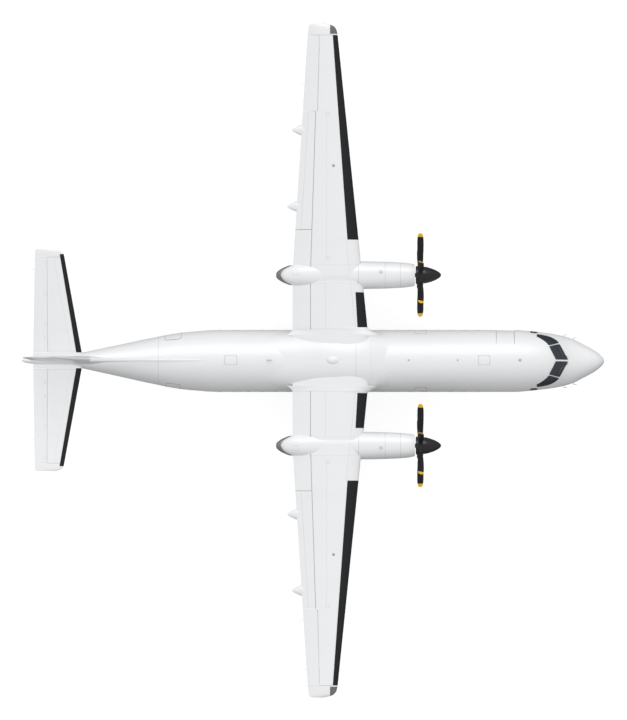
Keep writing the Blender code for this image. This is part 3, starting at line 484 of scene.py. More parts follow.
print("looks")
looks = {
    "wing": wingPaint("wingPaint"),
    "hull": hullPaint("hullPaint"),
    "hump": humpPaint("humpPaint"),
    "plain": plainPaint("plainPaint"),
    "fin": finPaint("finPaint"),
    "tail": tailPaint("tailPaint"),
    "nacelle": nacellePaint("nacellePaint"),
    "blade": bladePaint("bladePaint"),
    "spinner": glossBlack("spinnerBlack"),
    "glass": glassLook("windowGlass"),
    "gear": metalLook("gearGrey", tints["gear"], 0.42, 0.0),
    "steel": metalLook("bareSteel", tints["steel"]),
    "hot": metalLook("exhaustMetal", (0.30, 0.27, 0.25), 0.38),
    "dark": metalLook("engineMetal", (0.12, 0.12, 0.125), 0.5),
    "rubber": rubberLook("tyreRubber"),
    "shade": metalLook("openingBlack", (0.012, 0.012, 0.012), 0.8, 0.0),
    "boot": bootRubber("bootRubber"),
    "chrome": metalLook("pistonChrome", (0.75, 0.76, 0.78), 0.10),
    "seal": metalLook("sealGrey", (0.14, 0.145, 0.15), 0.6, 0.0),
    "plate": metalLook("plateGrey", (0.50, 0.51, 0.52), 0.4, 0.0),
    "trim": metalLook("trimGrey", (0.66, 0.67, 0.68), 0.4, 0.0),
    "lens": lampLook("clearLens", (0.13, 0.135, 0.14)),
    "red": lampLook("redLens", (0.45, 0.02, 0.02)),
    "green": lampLook("greenLens", (0.02, 0.30, 0.08)),
}


def gridFaces(rows, cols):  # quads between rows of points that close round their columns
    row, col = np.meshgrid(np.arange(rows - 1), np.arange(cols), indexing="ij")
    after = (col + 1) % cols
    quads = (row * cols + col, row * cols + after, (row + 1) * cols + after, (row + 1) * cols + col)
    return np.stack(quads, -1).reshape(-1, 4)


def makePiece(name, grids, body, look, replaces=(), sharp=32.0, capped=True):
    # each grid is rows x cols x 3; a capped one shrinks to its mean point at both ends
    points = []
    faces = []
    start = 0
    for grid in grids:
        if capped:
            first = np.repeat(grid[:1].mean(axis=1, keepdims=True), grid.shape[1], axis=1)
            last = np.repeat(grid[-1:].mean(axis=1, keepdims=True), grid.shape[1], axis=1)
            grid = np.concatenate([first, grid, last])
        points.append(grid.reshape(-1, 3))
        faces.append(gridFaces(*grid.shape[:2]) + start)
        start += grid.shape[0] * grid.shape[1]
    mesh = bpy.data.meshes.new(name)
    mesh.from_pydata(np.concatenate(points).tolist(), [], np.concatenate(faces).tolist())
    tidyMesh(mesh, sharp)
    return addPiece(name, mesh, body, look, replaces)


def tidyMesh(mesh, sharp):
    bm = bmesh.new()
    bm.from_mesh(mesh)
    bmesh.ops.remove_doubles(bm, verts=bm.verts, dist=2e-5)
    bmesh.ops.dissolve_degenerate(bm, dist=1e-6, edges=bm.edges)
    bmesh.ops.recalc_face_normals(bm, faces=bm.faces)
    bm.to_mesh(mesh)
    bm.free()
    mesh.shade_smooth()
    mesh.set_sharp_from_angle(angle=math.radians(sharp))


def dressPiece(piece, body, look, replaces=()):
    piece.hide_render = False
    piece.data.materials.clear()
    piece.data.materials.append(looks[look])
    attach(piece, body)
    if replaces:
        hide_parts(*replaces)
    return piece


def addPiece(name, mesh, body, look, replaces=()):
    piece = bpy.data.objects.new(name, mesh)
    scene.collection.objects.link(piece)
    return dressPiece(piece, body, look, replaces)


def carve(piece, *cutters, sharp=32.0, operation="DIFFERENCE"):
    # the piece less each cutter's volume, or only what it shares with them
    for cutter in cutters:
        cutter.hide_render = True
        cut = piece.modifiers.new("carve", "BOOLEAN")
        cut.operation = operation
        cut.solver = "EXACT"
        cut.object = cutter
    bpy.context.view_layer.update()
    graph = bpy.context.evaluated_depsgraph_get()
    mesh = bpy.data.meshes.new_from_object(piece.evaluated_get(graph))
    piece.modifiers.clear()
    old = piece.data
    piece.data = mesh
    bpy.data.meshes.remove(old)
    mesh.shade_smooth()
    mesh.set_sharp_from_angle(angle=math.radians(sharp))
    for cutter in cutters:
        bpy.data.objects.remove(cutter, do_unlink=True)
    return piece


def cutterFrom(name, grid):
    first = grid[:1].mean(axis=1, keepdims=True) * np.ones((1, grid.shape[1], 1))
    last = grid[-1:].mean(axis=1, keepdims=True) * np.ones((1, grid.shape[1], 1))
    rows = np.concatenate([first, grid, last])
    mesh = bpy.data.meshes.new(name)
    mesh.from_pydata(rows.reshape(-1, 3).tolist(), [], gridFaces(*rows.shape[:2]).tolist())
    tidyMesh(mesh, 30.0)
    cutter = bpy.data.objects.new(name, mesh)
    scene.collection.objects.link(cutter)
    return cutter


def boxGrid(low, high, turn=None, origin=(0, 0, 0)):
    # four corners round x, at the low and the high end of it
    yz = np.array(((low[1], low[2]), (high[1], low[2]), (high[1], high[2]), (low[1], high[2])))
    rows = [np.column_stack([np.full(4, x), yz]) for x in (low[0], high[0])]
    grid = np.array(rows, float)
    if turn is not None:
        grid = grid @ np.array(turn).T
    return grid + np.array(origin)


def hermite(table, at):
    # a curve through the table's rows with slopes that are harmonic means, so it never overshoots
    order = np.argsort(table[:, 0])
    xs = table[order, 0]
    ys = table[order, 1:]
    step = np.diff(xs)[:, None]
    secant = np.diff(ys, axis=0) / step
    slope = np.zeros_like(ys)
    product = secant[:-1] * secant[1:]
    total = np.where(np.abs(secant[:-1] + secant[1:]) < 1e-12, 1.0, secant[:-1] + secant[1:])
    slope[1:-1] = np.where(product > 0, 2 * product / total, 0.0)
    slope[0] = secant[0]
    slope[-1] = secant[-1]
    k = np.clip(np.searchsorted(xs, at) - 1, 0, len(xs) - 2)
    t = ((at - xs[k]) / (xs[k + 1] - xs[k]))[:, None]
    h = (xs[k + 1] - xs[k])[:, None]
    a = (1 + 2 * t) * (1 - t) ** 2 * ys[k] + t * (1 - t) ** 2 * h * slope[k]
    return a + t**2 * (3 - 2 * t) * ys[k + 1] + t**2 * (t - 1) * h * slope[k + 1]


def bodyGrid(table, count, sides=96, y=0.0, square=2.0, bunch=None, grow=0.0):
    # ring at x: y + w * sgn(sin a)|sin a|^(2/n), middle + h * sgn(cos a)|cos a|^(2/n)
    share = np.linspace(0, 1, count)
    if bunch == "start":
        share = share**2
    if bunch == "end":
        share = 1 - (1 - share) ** 2
    xs = table[0, 0] + (table[-1, 0] - table[0, 0]) * share
    half, low, high = hermite(table, xs).T
    angle = np.linspace(0, 2 * np.pi, sides, endpoint=False)
    across = np.sign(np.sin(angle)) * np.abs(np.sin(angle)) ** (2 / square)
    up = np.sign(np.cos(angle)) * np.abs(np.cos(angle)) ** (2 / square)
    grid = np.empty((count, sides, 3))
    grid[..., 0] = xs[:, None]
    grid[..., 1] = y + (half[:, None] + grow) * across
    grid[..., 2] = (low + high)[:, None] / 2 + ((high - low)[:, None] / 2 + grow) * up
    return grid


wholeHull = np.concatenate([noseTable, hullTable[1:]])


def skinPoint(x, angle, rise=0.0, table=wholeHull):
    # the skin at station x and angle from the crown, moved out along its normal
    half, low, high = hermite(table, x).T
    tall = (high - low) / 2
    y = half * np.sin(angle)
    z = (low + high) / 2 + tall * np.cos(angle)
    ny = np.sin(angle) / half
    nz = np.cos(angle) / tall
    size = np.hypot(ny, nz)
    return np.stack([x, y + rise * ny / size, z + rise * nz / size], -1)


def skinAngle(x, y, table=wholeHull):
    half = hermite(table, np.atleast_1d(float(x)))[0, 0]
    return math.asin(max(-1.0, min(1.0, y / half)))


def skinAngleAtHeight(x, z, side, table=wholeHull):
    _, low, high = hermite(table, np.atleast_1d(float(x)))[0]
    return side * math.acos(max(-1.0, min(1.0, (z - (low + high) / 2) / ((high - low) / 2))))


def patchGrid(corners, round=6.0, rise=0.004, depth=0.02, crown=0.0, rings=6, steps=48, inner=0.0, table=wholeHull):
    # a pad on the skin: polar grid, r * superellipse of the angle, laid between four (x, angle) corners,
    # or eight points with the middles of the sides last
    turn = np.linspace(0, 2 * np.pi, steps, endpoint=False)
    reach = (np.abs(np.cos(turn)) ** round + np.abs(np.sin(turn)) ** round) ** (-1 / round)
    low = max(inner, 1e-4)
    radii = np.concatenate([np.linspace(low, 1, rings), [1.0, low, low]])
    heights = np.concatenate([np.full(rings, rise), [-depth, -depth, rise]])
    u = radii[:, None] * (reach * np.cos(turn))[None, :]
    v = radii[:, None] * (reach * np.sin(turn))[None, :]
    lift = heights[:, None] + crown * (1 - radii[:, None] ** 2) * (heights[:, None] > 0)
    lift = np.broadcast_to(lift, u.shape)
    weights = [(1 - u) * (1 - v), (1 + u) * (1 - v), (1 + u) * (1 + v), (1 - u) * (1 + v)]
    if len(corners) == 8:
        sides = ((-1, -1), (1, -1), (1, 1), (-1, 1))
        weights = [weight * (u * a + v * b - 1) for weight, (a, b) in zip(weights, sides)]
        weights += [2 * (1 - u**2) * (1 - v), 2 * (1 + u) * (1 - v**2), 2 * (1 - u**2) * (1 + v), 2 * (1 - u) * (1 - v**2)]
    x = sum(weight / 4 * corner[0] for weight, corner in zip(weights, corners))
    angle = sum(weight / 4 * corner[1] for weight, corner in zip(weights, corners))
    return skinPoint(x.ravel(), angle.ravel(), lift.ravel(), table).reshape(*x.shape, 3)


def padPiece(name, cornersList, body, look, **settings):
    grids = [patchGrid(corners, **settings) for corners in cornersList]
    return makePiece(name, grids, body, look, capped=False)


def sideCorners(x, z, halfLength, halfHeight, side, table=wholeHull):
    # the corners of an upright rectangle on the body's side
    around = ((1, -1), (-1, -1), (-1, 1), (1, 1))
    return [
        (x + dx * halfLength, skinAngleAtHeight(x + dx * halfLength, z + dz * halfHeight, side, table))
        for dx, dz in around
    ]


def crownCorners(low, high, half, table=wholeHull):
    # the corners of a rectangle across the crown
    return [(x, skinAngle(x, y, table)) for x, y in ((high, -half), (low, -half), (low, half), (high, half))]


def foilTable(table, span, bend):
    # edges and thickness at each span: straight between rows up to bend, rounded beyond it
    straight = np.stack([np.interp(span, table[:, 0], table[:, i]) for i in (1, 2, 3)], -1)
    tip = table[table[:, 0] >= bend]
    return np.where((span > bend)[:, None], hermite(tip, np.maximum(span, bend)), straight)


def foilHeights(lead, trail, ratio, x, camber):
    # half thickness = 5 r c (0.2969 sqrt p - 0.126 p - 0.3516 p^2 + 0.2843 p^3 - 0.1036 p^4) at share p of the chord
    chord = lead - trail
    share = np.clip((lead - x) / chord, 0, 1)
    series = 0.2969 * np.sqrt(share) - 0.126 * share - 0.3516 * share**2 + 0.2843 * share**3 - 0.1036 * share**4
    half = 5 * ratio * series * chord + 0.003 * share
    middle = 4 * camber * share * (1 - share) * chord
    return middle + half, middle - half


def wingPlace(x, span, height, side):
    lift = (x - layout["wingPivotX"]) * math.tan(layout["wingIncidence"])
    z = layout["wingZ"] + np.abs(span) * math.tan(layout["wingDihedral"]) + lift + height
    return np.stack([x, side * span + 0 * x, z], -1)


def tailPlace(x, span, height, side):
    z = layout["tailZ"] + np.abs(span) * math.tan(layout["tailDihedral"]) + height
    return np.stack([x, side * span + 0 * x, z + 0 * x], -1)


def finPlace(x, span, height, side):
    return np.stack([x, height + 0 * x, span + 0 * x], -1)


def foilGrid(family, span, side=1, front=None, back=None, noseRound=False, steps=40, grow=0.0):
    # outline at each span: over the top from back to front, round the front, and back below;
    # grow lifts it off the surface, as a boot or a lens over the leading edge
    table, place, camber, bend = family
    lead, trail, ratio = foilTable(table, span, bend).T
    start = lead + grow if front is None else front(span)
    end = trail if back is None else back(span)
    ease = (1 - np.cos(np.linspace(0, np.pi, steps))) / 2
    x = start[:, None] + (end - start)[:, None] * ease[None, :]
    upper, lower = foilHeights(lead[:, None], trail[:, None], ratio[:, None], x, camber)
    if grow:
        lift = grow * np.sqrt(np.clip((start[:, None] - x) / (2 * grow), 0, 1))
        upper = upper + lift
        lower = lower - lift
    xs = [x[:, ::-1]]
    hs = [upper[:, ::-1]]
    if noseRound:
        radius = (upper[:, :1] - lower[:, :1]) / 2
        middle = (upper[:, :1] + lower[:, :1]) / 2
        turn = np.linspace(0, np.pi, 13)[None, 1:-1]
        xs.append(start[:, None] + radius * np.sin(turn))
        hs.append(middle + radius * np.cos(turn))
    xs.append(x)
    hs.append(lower)
    x = np.concatenate(xs, axis=1)
    height = np.concatenate(hs, axis=1)
    return place(x, span[:, None] + 0 * x, height, side)


def mixLine(inner, outer, innerX, outerX):
    return lambda span: innerX + (span - inner) / (outer - inner) * (outerX - innerX)


wingFamily = (wingTable, wingPlace, layout["camber"], 13.98)
tailFamily = (tailTable, tailPlace, 0.0, 4.57)
finFamily = (finTable, finPlace, 0.0, 7.95)
gap = layout["flapGap"]
outerFlapLine = mixLine(3.75, 10.69, -0.13, 0.09)
aileronLine = mixLine(10.71, 13.96, 0.10, 0.205)
elevatorLine = mixLine(0.36, 4.43, -11.49, -11.49)
rudderLine = mixLine(3.45, 7.95, -11.35, -11.84)


def coveBehind(family, line, clearance=0.012):
    # the fixed surface ends ahead of a round nose: hinge line + half thickness there + clearance
    table, _, camber, bend = family

    def edge(span):
        lead, trail, ratio = foilTable(table, span, bend).T
        hinge = line(span)
        upper, lower = foilHeights(lead, trail, ratio, hinge, camber)
        return hinge + (upper - lower) / 2 - 0.002 + clearance

    return edge


def spread(low, high, count):
    return np.linspace(low, high, count)


def tipSpread(low, high, count=22):
    return low + (high - low) * np.sin(np.linspace(0, np.pi / 2, count))


def rotateX(angle):
    return np.array(((1, 0, 0), (0, math.cos(angle), -math.sin(angle)), (0, math.sin(angle), math.cos(angle))))


def blockGrid(centre, half, square=8.0, rows=24, cols=48, turn=None):
    # a rounded block: half sizes times the sphere's sines and cosines, each to the power 2/n
    lat = np.linspace(0.01, np.pi - 0.01, rows)[:, None]
    lon = np.linspace(0, 2 * np.pi, cols, endpoint=False)[None, :]
    power = lambda wave: np.sign(wave) * np.abs(wave) ** (2 / square)
    around = power(np.sin(lat))
    grid = np.stack([around * power(np.cos(lon)), around * power(np.sin(lon)), power(np.cos(lat)) + 0 * lon], -1)
    grid = grid * np.array(half)
    if turn is not None:
        grid = grid @ np.array(turn).T
    return grid + np.array(centre)


def pebble(centre, half, count=14, sides=28):
    return blockGrid(centre, half, 2.0, count, sides)


def turnGrid(profile, centre, axis="x", steps=96, smooth=1):
    # a profile of (along, radius) swept round an axis through centre
    profile = np.array(profile, float)
    if smooth > 1:
        order = np.arange(len(profile), dtype=float)
        profile = hermite(np.column_stack([order, profile]), np.linspace(0, order[-1], len(profile) * smooth))
    turn = np.linspace(0, 2 * np.pi, steps, endpoint=False)
    along = np.repeat(profile[:, :1], steps, axis=1)
    first = profile[:, 1:] * np.cos(turn)
    second = profile[:, 1:] * np.sin(turn)
    orders = {"x": (along, first, second), "y": (first, along, second), "z": (first, second, along)}
    return np.stack(orders[axis], -1) + np.array(centre)


def tubeGrid(path, radius, sides=14):
    # a round section carried along a path of points
    path = np.array(path, float)
    ahead = np.gradient(path, axis=0)
    ahead = ahead / np.linalg.norm(ahead, axis=1, keepdims=True)
    up = np.where(np.abs(ahead[:, 2:]) > 0.9, np.array((1.0, 0, 0)), np.array((0, 0, 1.0)))
    across = np.cross(ahead, up)
    across = across / np.linalg.norm(across, axis=1, keepdims=True)
    up = np.cross(across, ahead)
    turn = np.linspace(0, 2 * np.pi, sides, endpoint=False)
    radius = np.broadcast_to(radius, len(path))[:, None, None]
    ring = np.cos(turn)[None, :, None] * across[:, None, :] + np.sin(turn)[None, :, None] * up[:, None, :]
    return path[:, None, :] + radius * ring


def bendPath(corners, count=24):
    # a smooth path through corner points
    corners = np.array(corners, float)
    order = np.arange(len(corners), dtype=float)
    return hermite(np.column_stack([order, corners]), np.linspace(0, order[-1], count))


def barGrid(start, end, half, square=5.0, taper=0.8):
    # a bar with a rounded oblong section, a little narrower at its end
    start, end = np.array(start, float), np.array(end, float)
    along = (end - start) / np.linalg.norm(end - start)
    across = np.array((0.0, 1.0, 0.0))
    up = np.cross(along, across)
    turn = np.linspace(0, 2 * np.pi, 32, endpoint=False)
    one = np.sign(np.cos(turn)) * np.abs(np.cos(turn)) ** (2 / square)
    two = np.sign(np.sin(turn)) * np.abs(np.sin(turn)) ** (2 / square)
    share = np.array((0.0, 0.015, 0.04, 0.96, 0.985, 1.0))[:, None]
    size = np.array((0.6, 0.88, 1.0, taper, taper * 0.88, taper * 0.6))[:, None]
    ring = (one * half[0] * size)[..., None] * across + (two * half[1] * size)[..., None] * up
    return start + (share * (end - start))[:, None, :] + ring


print("hull")
makePiece("hullSkin", [bodyGrid(hullTable, 150)], "airframe", "hull", ["fuselage"])
hull = scene.objects["hullSkin"]
makePiece("radomeSkin", [bodyGrid(noseTable, 40, bunch="start")], "airframe", "plain", ["radome"])
makePiece("tailConeSkin", [bodyGrid(coneTable, 50, bunch="end")], "airframe", "plain", ["tail_cone"])
makePiece("wingHump", [bodyGrid(humpTable, 110, square=2.3)], "airframe", "hump", ["wing_fairing"])

doorSpec = {
    "frontX": 8.64,
    "width": 0.76,
    "sill": 1.22,
    "height": 1.78,
    "thick": 0.07,
    "gap": 0.016,
    "sillDepth": 0.12,
    "entryY": 0.30,
    "entryFloor": 1.175,
    "entryRoof": 2.95,
}
stairSpec = {
    "half": 0.30,
    "reach": 0.19,
    "foot": 0.06,
    "plate": 0.024,
    "treads": 5,
    "first": 0.24,
    "pitch": 0.335,
    "depth": 0.24,
    "thick": 0.026,
    "inset": 0.075,
    "open": math.radians(135.0),
}
_, hullHalf, hullLow, hullHigh = hullTable[7]


def hullSide(z):
    # the hull's half width at height z, on the straight part of the body
    middle = (hullLow + hullHigh) / 2
    return hullHalf * math.sqrt(1 - ((z - middle) / ((hullHigh - hullLow) / 2)) ** 2)


doorHead = doorSpec["sill"] + doorSpec["height"]
doorLean = math.atan2(hullSide(doorSpec["sill"]) - hullSide(doorHead), doorSpec["height"])
doorLength = doorSpec["height"] / math.cos(doorLean)
doorFoot = np.array((doorSpec["frontX"] - doorSpec["width"] / 2, hullSide(doorSpec["sill"]), doorSpec["sill"]))


def doorBox(name, grow, depth):
    # the door's outline as a box that leans with the hull side, reaching depth inward of the sill
    half = doorSpec["width"] / 2 + grow
    return cutterFrom(name, boxGrid((-half, -depth, -grow), (half, 0.6, doorLength + grow), rotateX(doorLean), doorFoot))


def hullShell(name, inset):
    # the part of the hull about the door, moved inward by inset
    return cutterFrom(name, bodyGrid(hullTable[6:10], 8, 192, grow=-inset))


wellSpec = {"nose": ((9.95, -0.27, -0.2), (11.20, 0.27, 1.20)), "main": ((-0.75, -0.34, 0.0), (0.95, 0.34, 2.78))}
back = doorSpec["frontX"] - doorSpec["width"] - doorSpec["gap"]
low = (back, doorSpec["entryY"], doorSpec["entryFloor"])
entry = cutterFrom("entry", boxGrid(low, (doorSpec["frontX"] + doorSpec["gap"], hullHalf, doorSpec["entryRoof"])))
carve(entry, hullShell("entryLimit", doorSpec["thick"] + doorSpec["gap"]), operation="INTERSECT")
recess = doorBox("recess", doorSpec["gap"], doorSpec["sillDepth"])
carve(hull, recess, entry, cutterFrom("noseWell", boxGrid(*wellSpec["nose"])))

print("door and stair")
door = hullShell("airstairPanel", 0.0)
carve(door, doorBox("outline", 0.0, 0.6), operation="INTERSECT")
carve(door, hullShell("doorInside", doorSpec["thick"]))
dressPiece(door, "airstair", "hull", ["airstair_door"])


def stairPlates():
    # two side plates that fill the shell's hollow to a straight edge
    for side, name in ((1, "Front"), (-1, "Back")):
        low = (side * stairSpec["half"] - stairSpec["plate"] / 2, -stairSpec["reach"], stairSpec["foot"])
        high = (side * stairSpec["half"] + stairSpec["plate"] / 2, 0.6, doorLength - stairSpec["foot"])
        plate = cutterFrom("stairPlate" + name, boxGrid(low, high, rotateX(doorLean), doorFoot))
        carve(plate, hullShell("plateLimit", doorSpec["thick"] - 0.003), operation="INTERSECT")
        dressPiece(plate, "airstair", "plate")


def stairTreads():
    # planks that lie level when the door is open, with a dark grip strip proud of each
    turn = rotateX(doorLean) @ rotateX(math.pi - stairSpec["open"] - doorLean)
    half = np.array((2 * stairSpec["half"] - stairSpec["plate"], stairSpec["thick"], stairSpec["depth"])) / 2
    planks = []
    grips = []
    for number in range(stairSpec["treads"]):
        spot = np.array((0.0, -stairSpec["inset"], stairSpec["first"] + number * stairSpec["pitch"]))
        centre = doorFoot + rotateX(doorLean) @ spot
        planks.append(blockGrid(centre, half, 14.0, turn=turn))
        up = turn @ np.array((0.0, -1.0, 0.0))
        for row in (-0.30, -0.10, 0.10, 0.30):
            shift = turn @ np.array((0.0, 0.0, row * stairSpec["depth"]))
            strip = centre + up * (half[1] + 0.001) + shift
            grips.append(blockGrid(strip, (half[0] * 0.92, 0.002, 0.016), 8.0, 8, 16, turn))
    makePiece("airstairTreads", planks, "airstair", "plate")
    makePiece("airstairGrips", grips, "airstair", "shade")


stairPlates()
stairTreads()

print("wings")
bootSpec = {"lift": 0.004, "outer": (5.18, 13.97), "inner": (1.40, 2.92), "tail": (0.34, 4.56)}
lensSpec = {"span": (14.03, 14.43), "back": 0.71, "lift": 0.005}
podSpec = {
    "places": ((6.62, -1.14), (9.90, -0.94)),
    "length": 0.95,
    "half": 0.235,
    "tall": 0.11,
    "drop": 0.075,
    "sizes": ((0.0, 0.02), (0.05, 0.40), (0.25, 0.85), (0.50, 1.0), (0.75, 0.66), (0.92, 0.30), (1.0, 0.03)),
}


def bootBack(family, reach):
    # a boot's rear edge: the leading edge less a reach that may change along the span
    def edge(span):
        lead = foilTable(family[0], span, family[3])[:, 0]
        return lead - (reach(span) if callable(reach) else reach)

    return edge


def flapPod(side, y, tip):
    # a flattened pod under the flap, from its table of sizes, pointed behind
    sizes = np.array(podSpec["sizes"])
    share = (1 - np.cos(np.linspace(0, np.pi, 40))) / 2
    size = np.maximum(hermite(sizes, share)[:, 0], 0.02)
    x = tip + podSpec["length"] * (1 - share)
    middle = wingPlace(x, np.full(40, float(y)), -podSpec["drop"], side)[:, 2]
    turn = np.linspace(0, 2 * np.pi, 32, endpoint=False)
    across = side * y + podSpec["half"] * size[:, None] * np.sin(turn)
    up = middle[:, None] + podSpec["tall"] * size[:, None] * np.cos(turn)
    return np.stack([np.broadcast_to(x[:, None], across.shape), across, up], -1)


rootTable = np.array((
    (1.08, 2.90, -1.160, 0.150),
    (1.16, 2.74, -1.050, 0.165),
    (1.24, 2.58, -0.960, 0.180),
    (1.30, 2.47, -0.915, 0.195),
    (1.36, 2.39, -0.902, 0.202),
    (1.42, 2.318, -0.900, 0.205),
))
rootFamily = (rootTable, wingPlace, layout["camber"], 0.0)
flapFront = lambda span: outerFlapLine(span) - gap
innerFront = lambda span: -0.13 - gap + 0 * span
innerBack = lambda span: -0.13 + 0 * span
aileronCove = coveBehind(wingFamily, aileronLine)
tailCove = coveBehind(tailFamily, elevatorLine)

for side, name in ((1, "left"), (-1, "right")):
    label = name.capitalize()
    outer = [
        foilGrid(wingFamily, spread(3.60, 4.10, 4), side, back=outerFlapLine),
        foilGrid(wingFamily, spread(4.10, 10.695, 40), side, back=outerFlapLine),
        foilGrid(wingFamily, spread(10.695, 13.975, 24), side, back=aileronCove),
        foilGrid(wingFamily, tipSpread(13.975, 14.50, 30), side),
    ]
    makePiece("outerWing" + label, outer, "airframe", "wing", ["wing_" + name])
    flaps = [
        foilGrid(wingFamily, spread(3.90, 5.618, 12), side, front=flapFront),
        foilGrid(wingFamily, spread(5.622, 10.69 - gap / 2, 32), side, front=flapFront),
    ]
    pods = [flapPod(side, y, tip) for y, tip in podSpec["places"]]
    makePiece("outerFlap" + label, flaps + pods, "airframe", "wing", ["outer_flap_" + name])
    inner = [foilGrid(wingFamily, spread(1.32 + gap / 2, 3.42, 10), side, front=innerFront)]
    makePiece("innerFlap" + label, inner, "airframe", "wing", ["inner_flap_" + name])
    aileron = [foilGrid(wingFamily, spread(10.71, 13.96, 24), side, front=aileronLine, noseRound=True)]
    makePiece("aileron" + label, aileron, "aileron_body_" + name, "wing", ["aileron_" + name])
    plane = [
        foilGrid(tailFamily, spread(0.08, 0.345, 3), side),
        foilGrid(tailFamily, spread(0.345, 4.445, 24), side, back=tailCove),
        foilGrid(tailFamily, tipSpread(4.445, 4.78, 18), side),
    ]
    makePiece("tailplane" + label, plane, "airframe", "tail", ["tailplane_" + name])
    elevator = [foilGrid(tailFamily, spread(0.36, 4.43, 20), side, front=elevatorLine, noseRound=True)]
    makePiece("elevator" + label, elevator, "elevator_body_" + name, "tail", ["elevator_" + name])
    makePiece("rootFillet" + label, [foilGrid(rootFamily, spread(1.09, 1.42, 20), side)], "airframe", "wing")
    outerReach = bootBack(wingFamily, lambda span: 0.475 - (span - 5.2) * 0.0303)
    innerReach = bootBack(wingFamily, lambda span: 0.43 - (span - 1.37) * 0.046)
    tailReach = bootBack(tailFamily, lambda span: 0.235 - (span - 0.34) * 0.014)
    lift = bootSpec["lift"]
    boots = [
        foilGrid(wingFamily, spread(*bootSpec["outer"], 60), side, back=outerReach, grow=lift),
        foilGrid(wingFamily, spread(*bootSpec["inner"], 12), side, back=innerReach, grow=lift),
        foilGrid(tailFamily, spread(*bootSpec["tail"], 30), side, back=tailReach, grow=lift),
    ]
    makePiece("iceBoots" + label, boots, "airframe", "boot")
    lensBack = lambda span: lensSpec["back"] + 0 * span
    lens = [foilGrid(wingFamily, spread(*lensSpec["span"], 16), side, back=lensBack, grow=lensSpec["lift"])]
    makePiece("tipLens" + label, lens, "airframe", "lens")
    lampAt = wingPlace(np.array([0.80]), np.array([14.26]), 0.03, side)[0]
    makePiece("tipLamp" + label, [pebble(lampAt, (0.05, 0.05, 0.03))], "airframe", "red" if side > 0 else "green")

centre = [foilGrid(wingFamily, spread(0.0, 1.32, 8), side) for side in (1, -1)]
centre += [foilGrid(wingFamily, spread(1.32, 3.42, 12), side, back=innerBack) for side in (1, -1)]
makePiece("centreWing", centre, "airframe", "wing", ["wing_centre"])

print("fin")
finCove = coveBehind(finFamily, rudderLine)
dorsalSpec = {
    "curve": ((-4.67, 3.22), (-5.60, 3.30), (-6.60, 3.44), (-7.40, 3.61), (-8.20, 3.86), (-8.90, 4.18), (-9.60, 4.60)),
    "half": 0.045,
    "spread": 0.05,
}


def dorsalGrid():
    # a thin blade under a rising curve, with a rounded top edge, wider towards the fin
    curve = np.array(dorsalSpec["curve"])
    xs = np.linspace(curve[0, 0], curve[-1, 0], 50)
    top = hermite(curve, xs)[:, 0]
    half = dorsalSpec["half"] + dorsalSpec["spread"] * np.clip((-7.5 - xs) / 2.1, 0, 1)
    half[0] = 0.004
    turn = np.linspace(0, np.pi, 13)
    y = half[:, None] * np.cos(turn)[None, :]
    z = top[:, None] - 0.5 * half[:, None] + 0.5 * half[:, None] * np.sin(turn)[None, :]
    low = np.full((len(xs), 1), 2.9)
    y = np.concatenate([half[:, None], y, -half[:, None]], axis=1)
    z = np.concatenate([low, z, low], axis=1)
    return np.stack([np.broadcast_to(xs[:, None], y.shape), y, z], -1)


fin = [
    foilGrid(finFamily, spread(3.06, 3.435, 4)),
    foilGrid(finFamily, spread(3.435, 7.965, 24), back=finCove),
    foilGrid(finFamily, tipSpread(7.965, 8.317, 20)),
    dorsalGrid(),
]
makePiece("finSkin", fin, "airframe", "fin", ["fin"])
rudder = [foilGrid(finFamily, spread(3.45, 7.95, 24), front=rudderLine, noseRound=True)]
makePiece("rudderSkin", rudder, "rudder_body", "fin", ["rudder"])

print("nacelles and propellers")
bladeSpec = {
    "count": 6,
    "phase": math.radians(13.0),
    "radius": (0.28, 0.42, 0.55, 0.90, 1.20, 1.45, 1.65, 1.76, 1.81, 1.83),
    "chord": (0.15, 0.155, 0.19, 0.255, 0.280, 0.283, 0.262, 0.215, 0.150, 0.060),
    "thick": (0.13, 0.110, 0.070, 0.038, 0.028, 0.022, 0.016, 0.012, 0.010, 0.006),
    "pitch": (88.0, 87.0, 86.0, 82.0, 79.0, 76.5, 74.5, 73.5, 73.0, 73.0),
}


def bladeGrid(number, y):
    # sections turned by the pitch about the blade's own line, and the blade turned about the hub
    spec = bladeSpec
    base = np.linspace(0, 1, len(spec["radius"]))
    keys = ("radius", "chord", "thick", "pitch")
    table = np.column_stack([base] + [spec[key] for key in keys])
    radius, chord, thick, pitch = hermite(table, np.linspace(0, 1, 60)).T
    angle = spec["phase"] + 2 * math.pi * number / spec["count"]
    outward = np.array((0, math.cos(angle), math.sin(angle)))
    around = np.array((0, -math.sin(angle), math.cos(angle)))
    tilt = np.radians(pitch)[:, None]
    along = np.sin(tilt) * np.array((1.0, 0, 0)) + np.cos(tilt) * around
    face = np.cross(outward, along)
    turn = np.linspace(0, 2 * np.pi, 24, endpoint=False)
    shape = np.sign(np.sin(turn)) * np.abs(np.sin(turn)) ** 1.3
    grid = radius[:, None, None] * outward + (chord[:, None] / 2 * np.cos(turn))[..., None] * along[:, None, :]
    grid = grid + (thick[:, None] / 2 * shape)[..., None] * face[:, None, :]
    return grid + np.array((layout["propX"], y, layout["propZ"]))


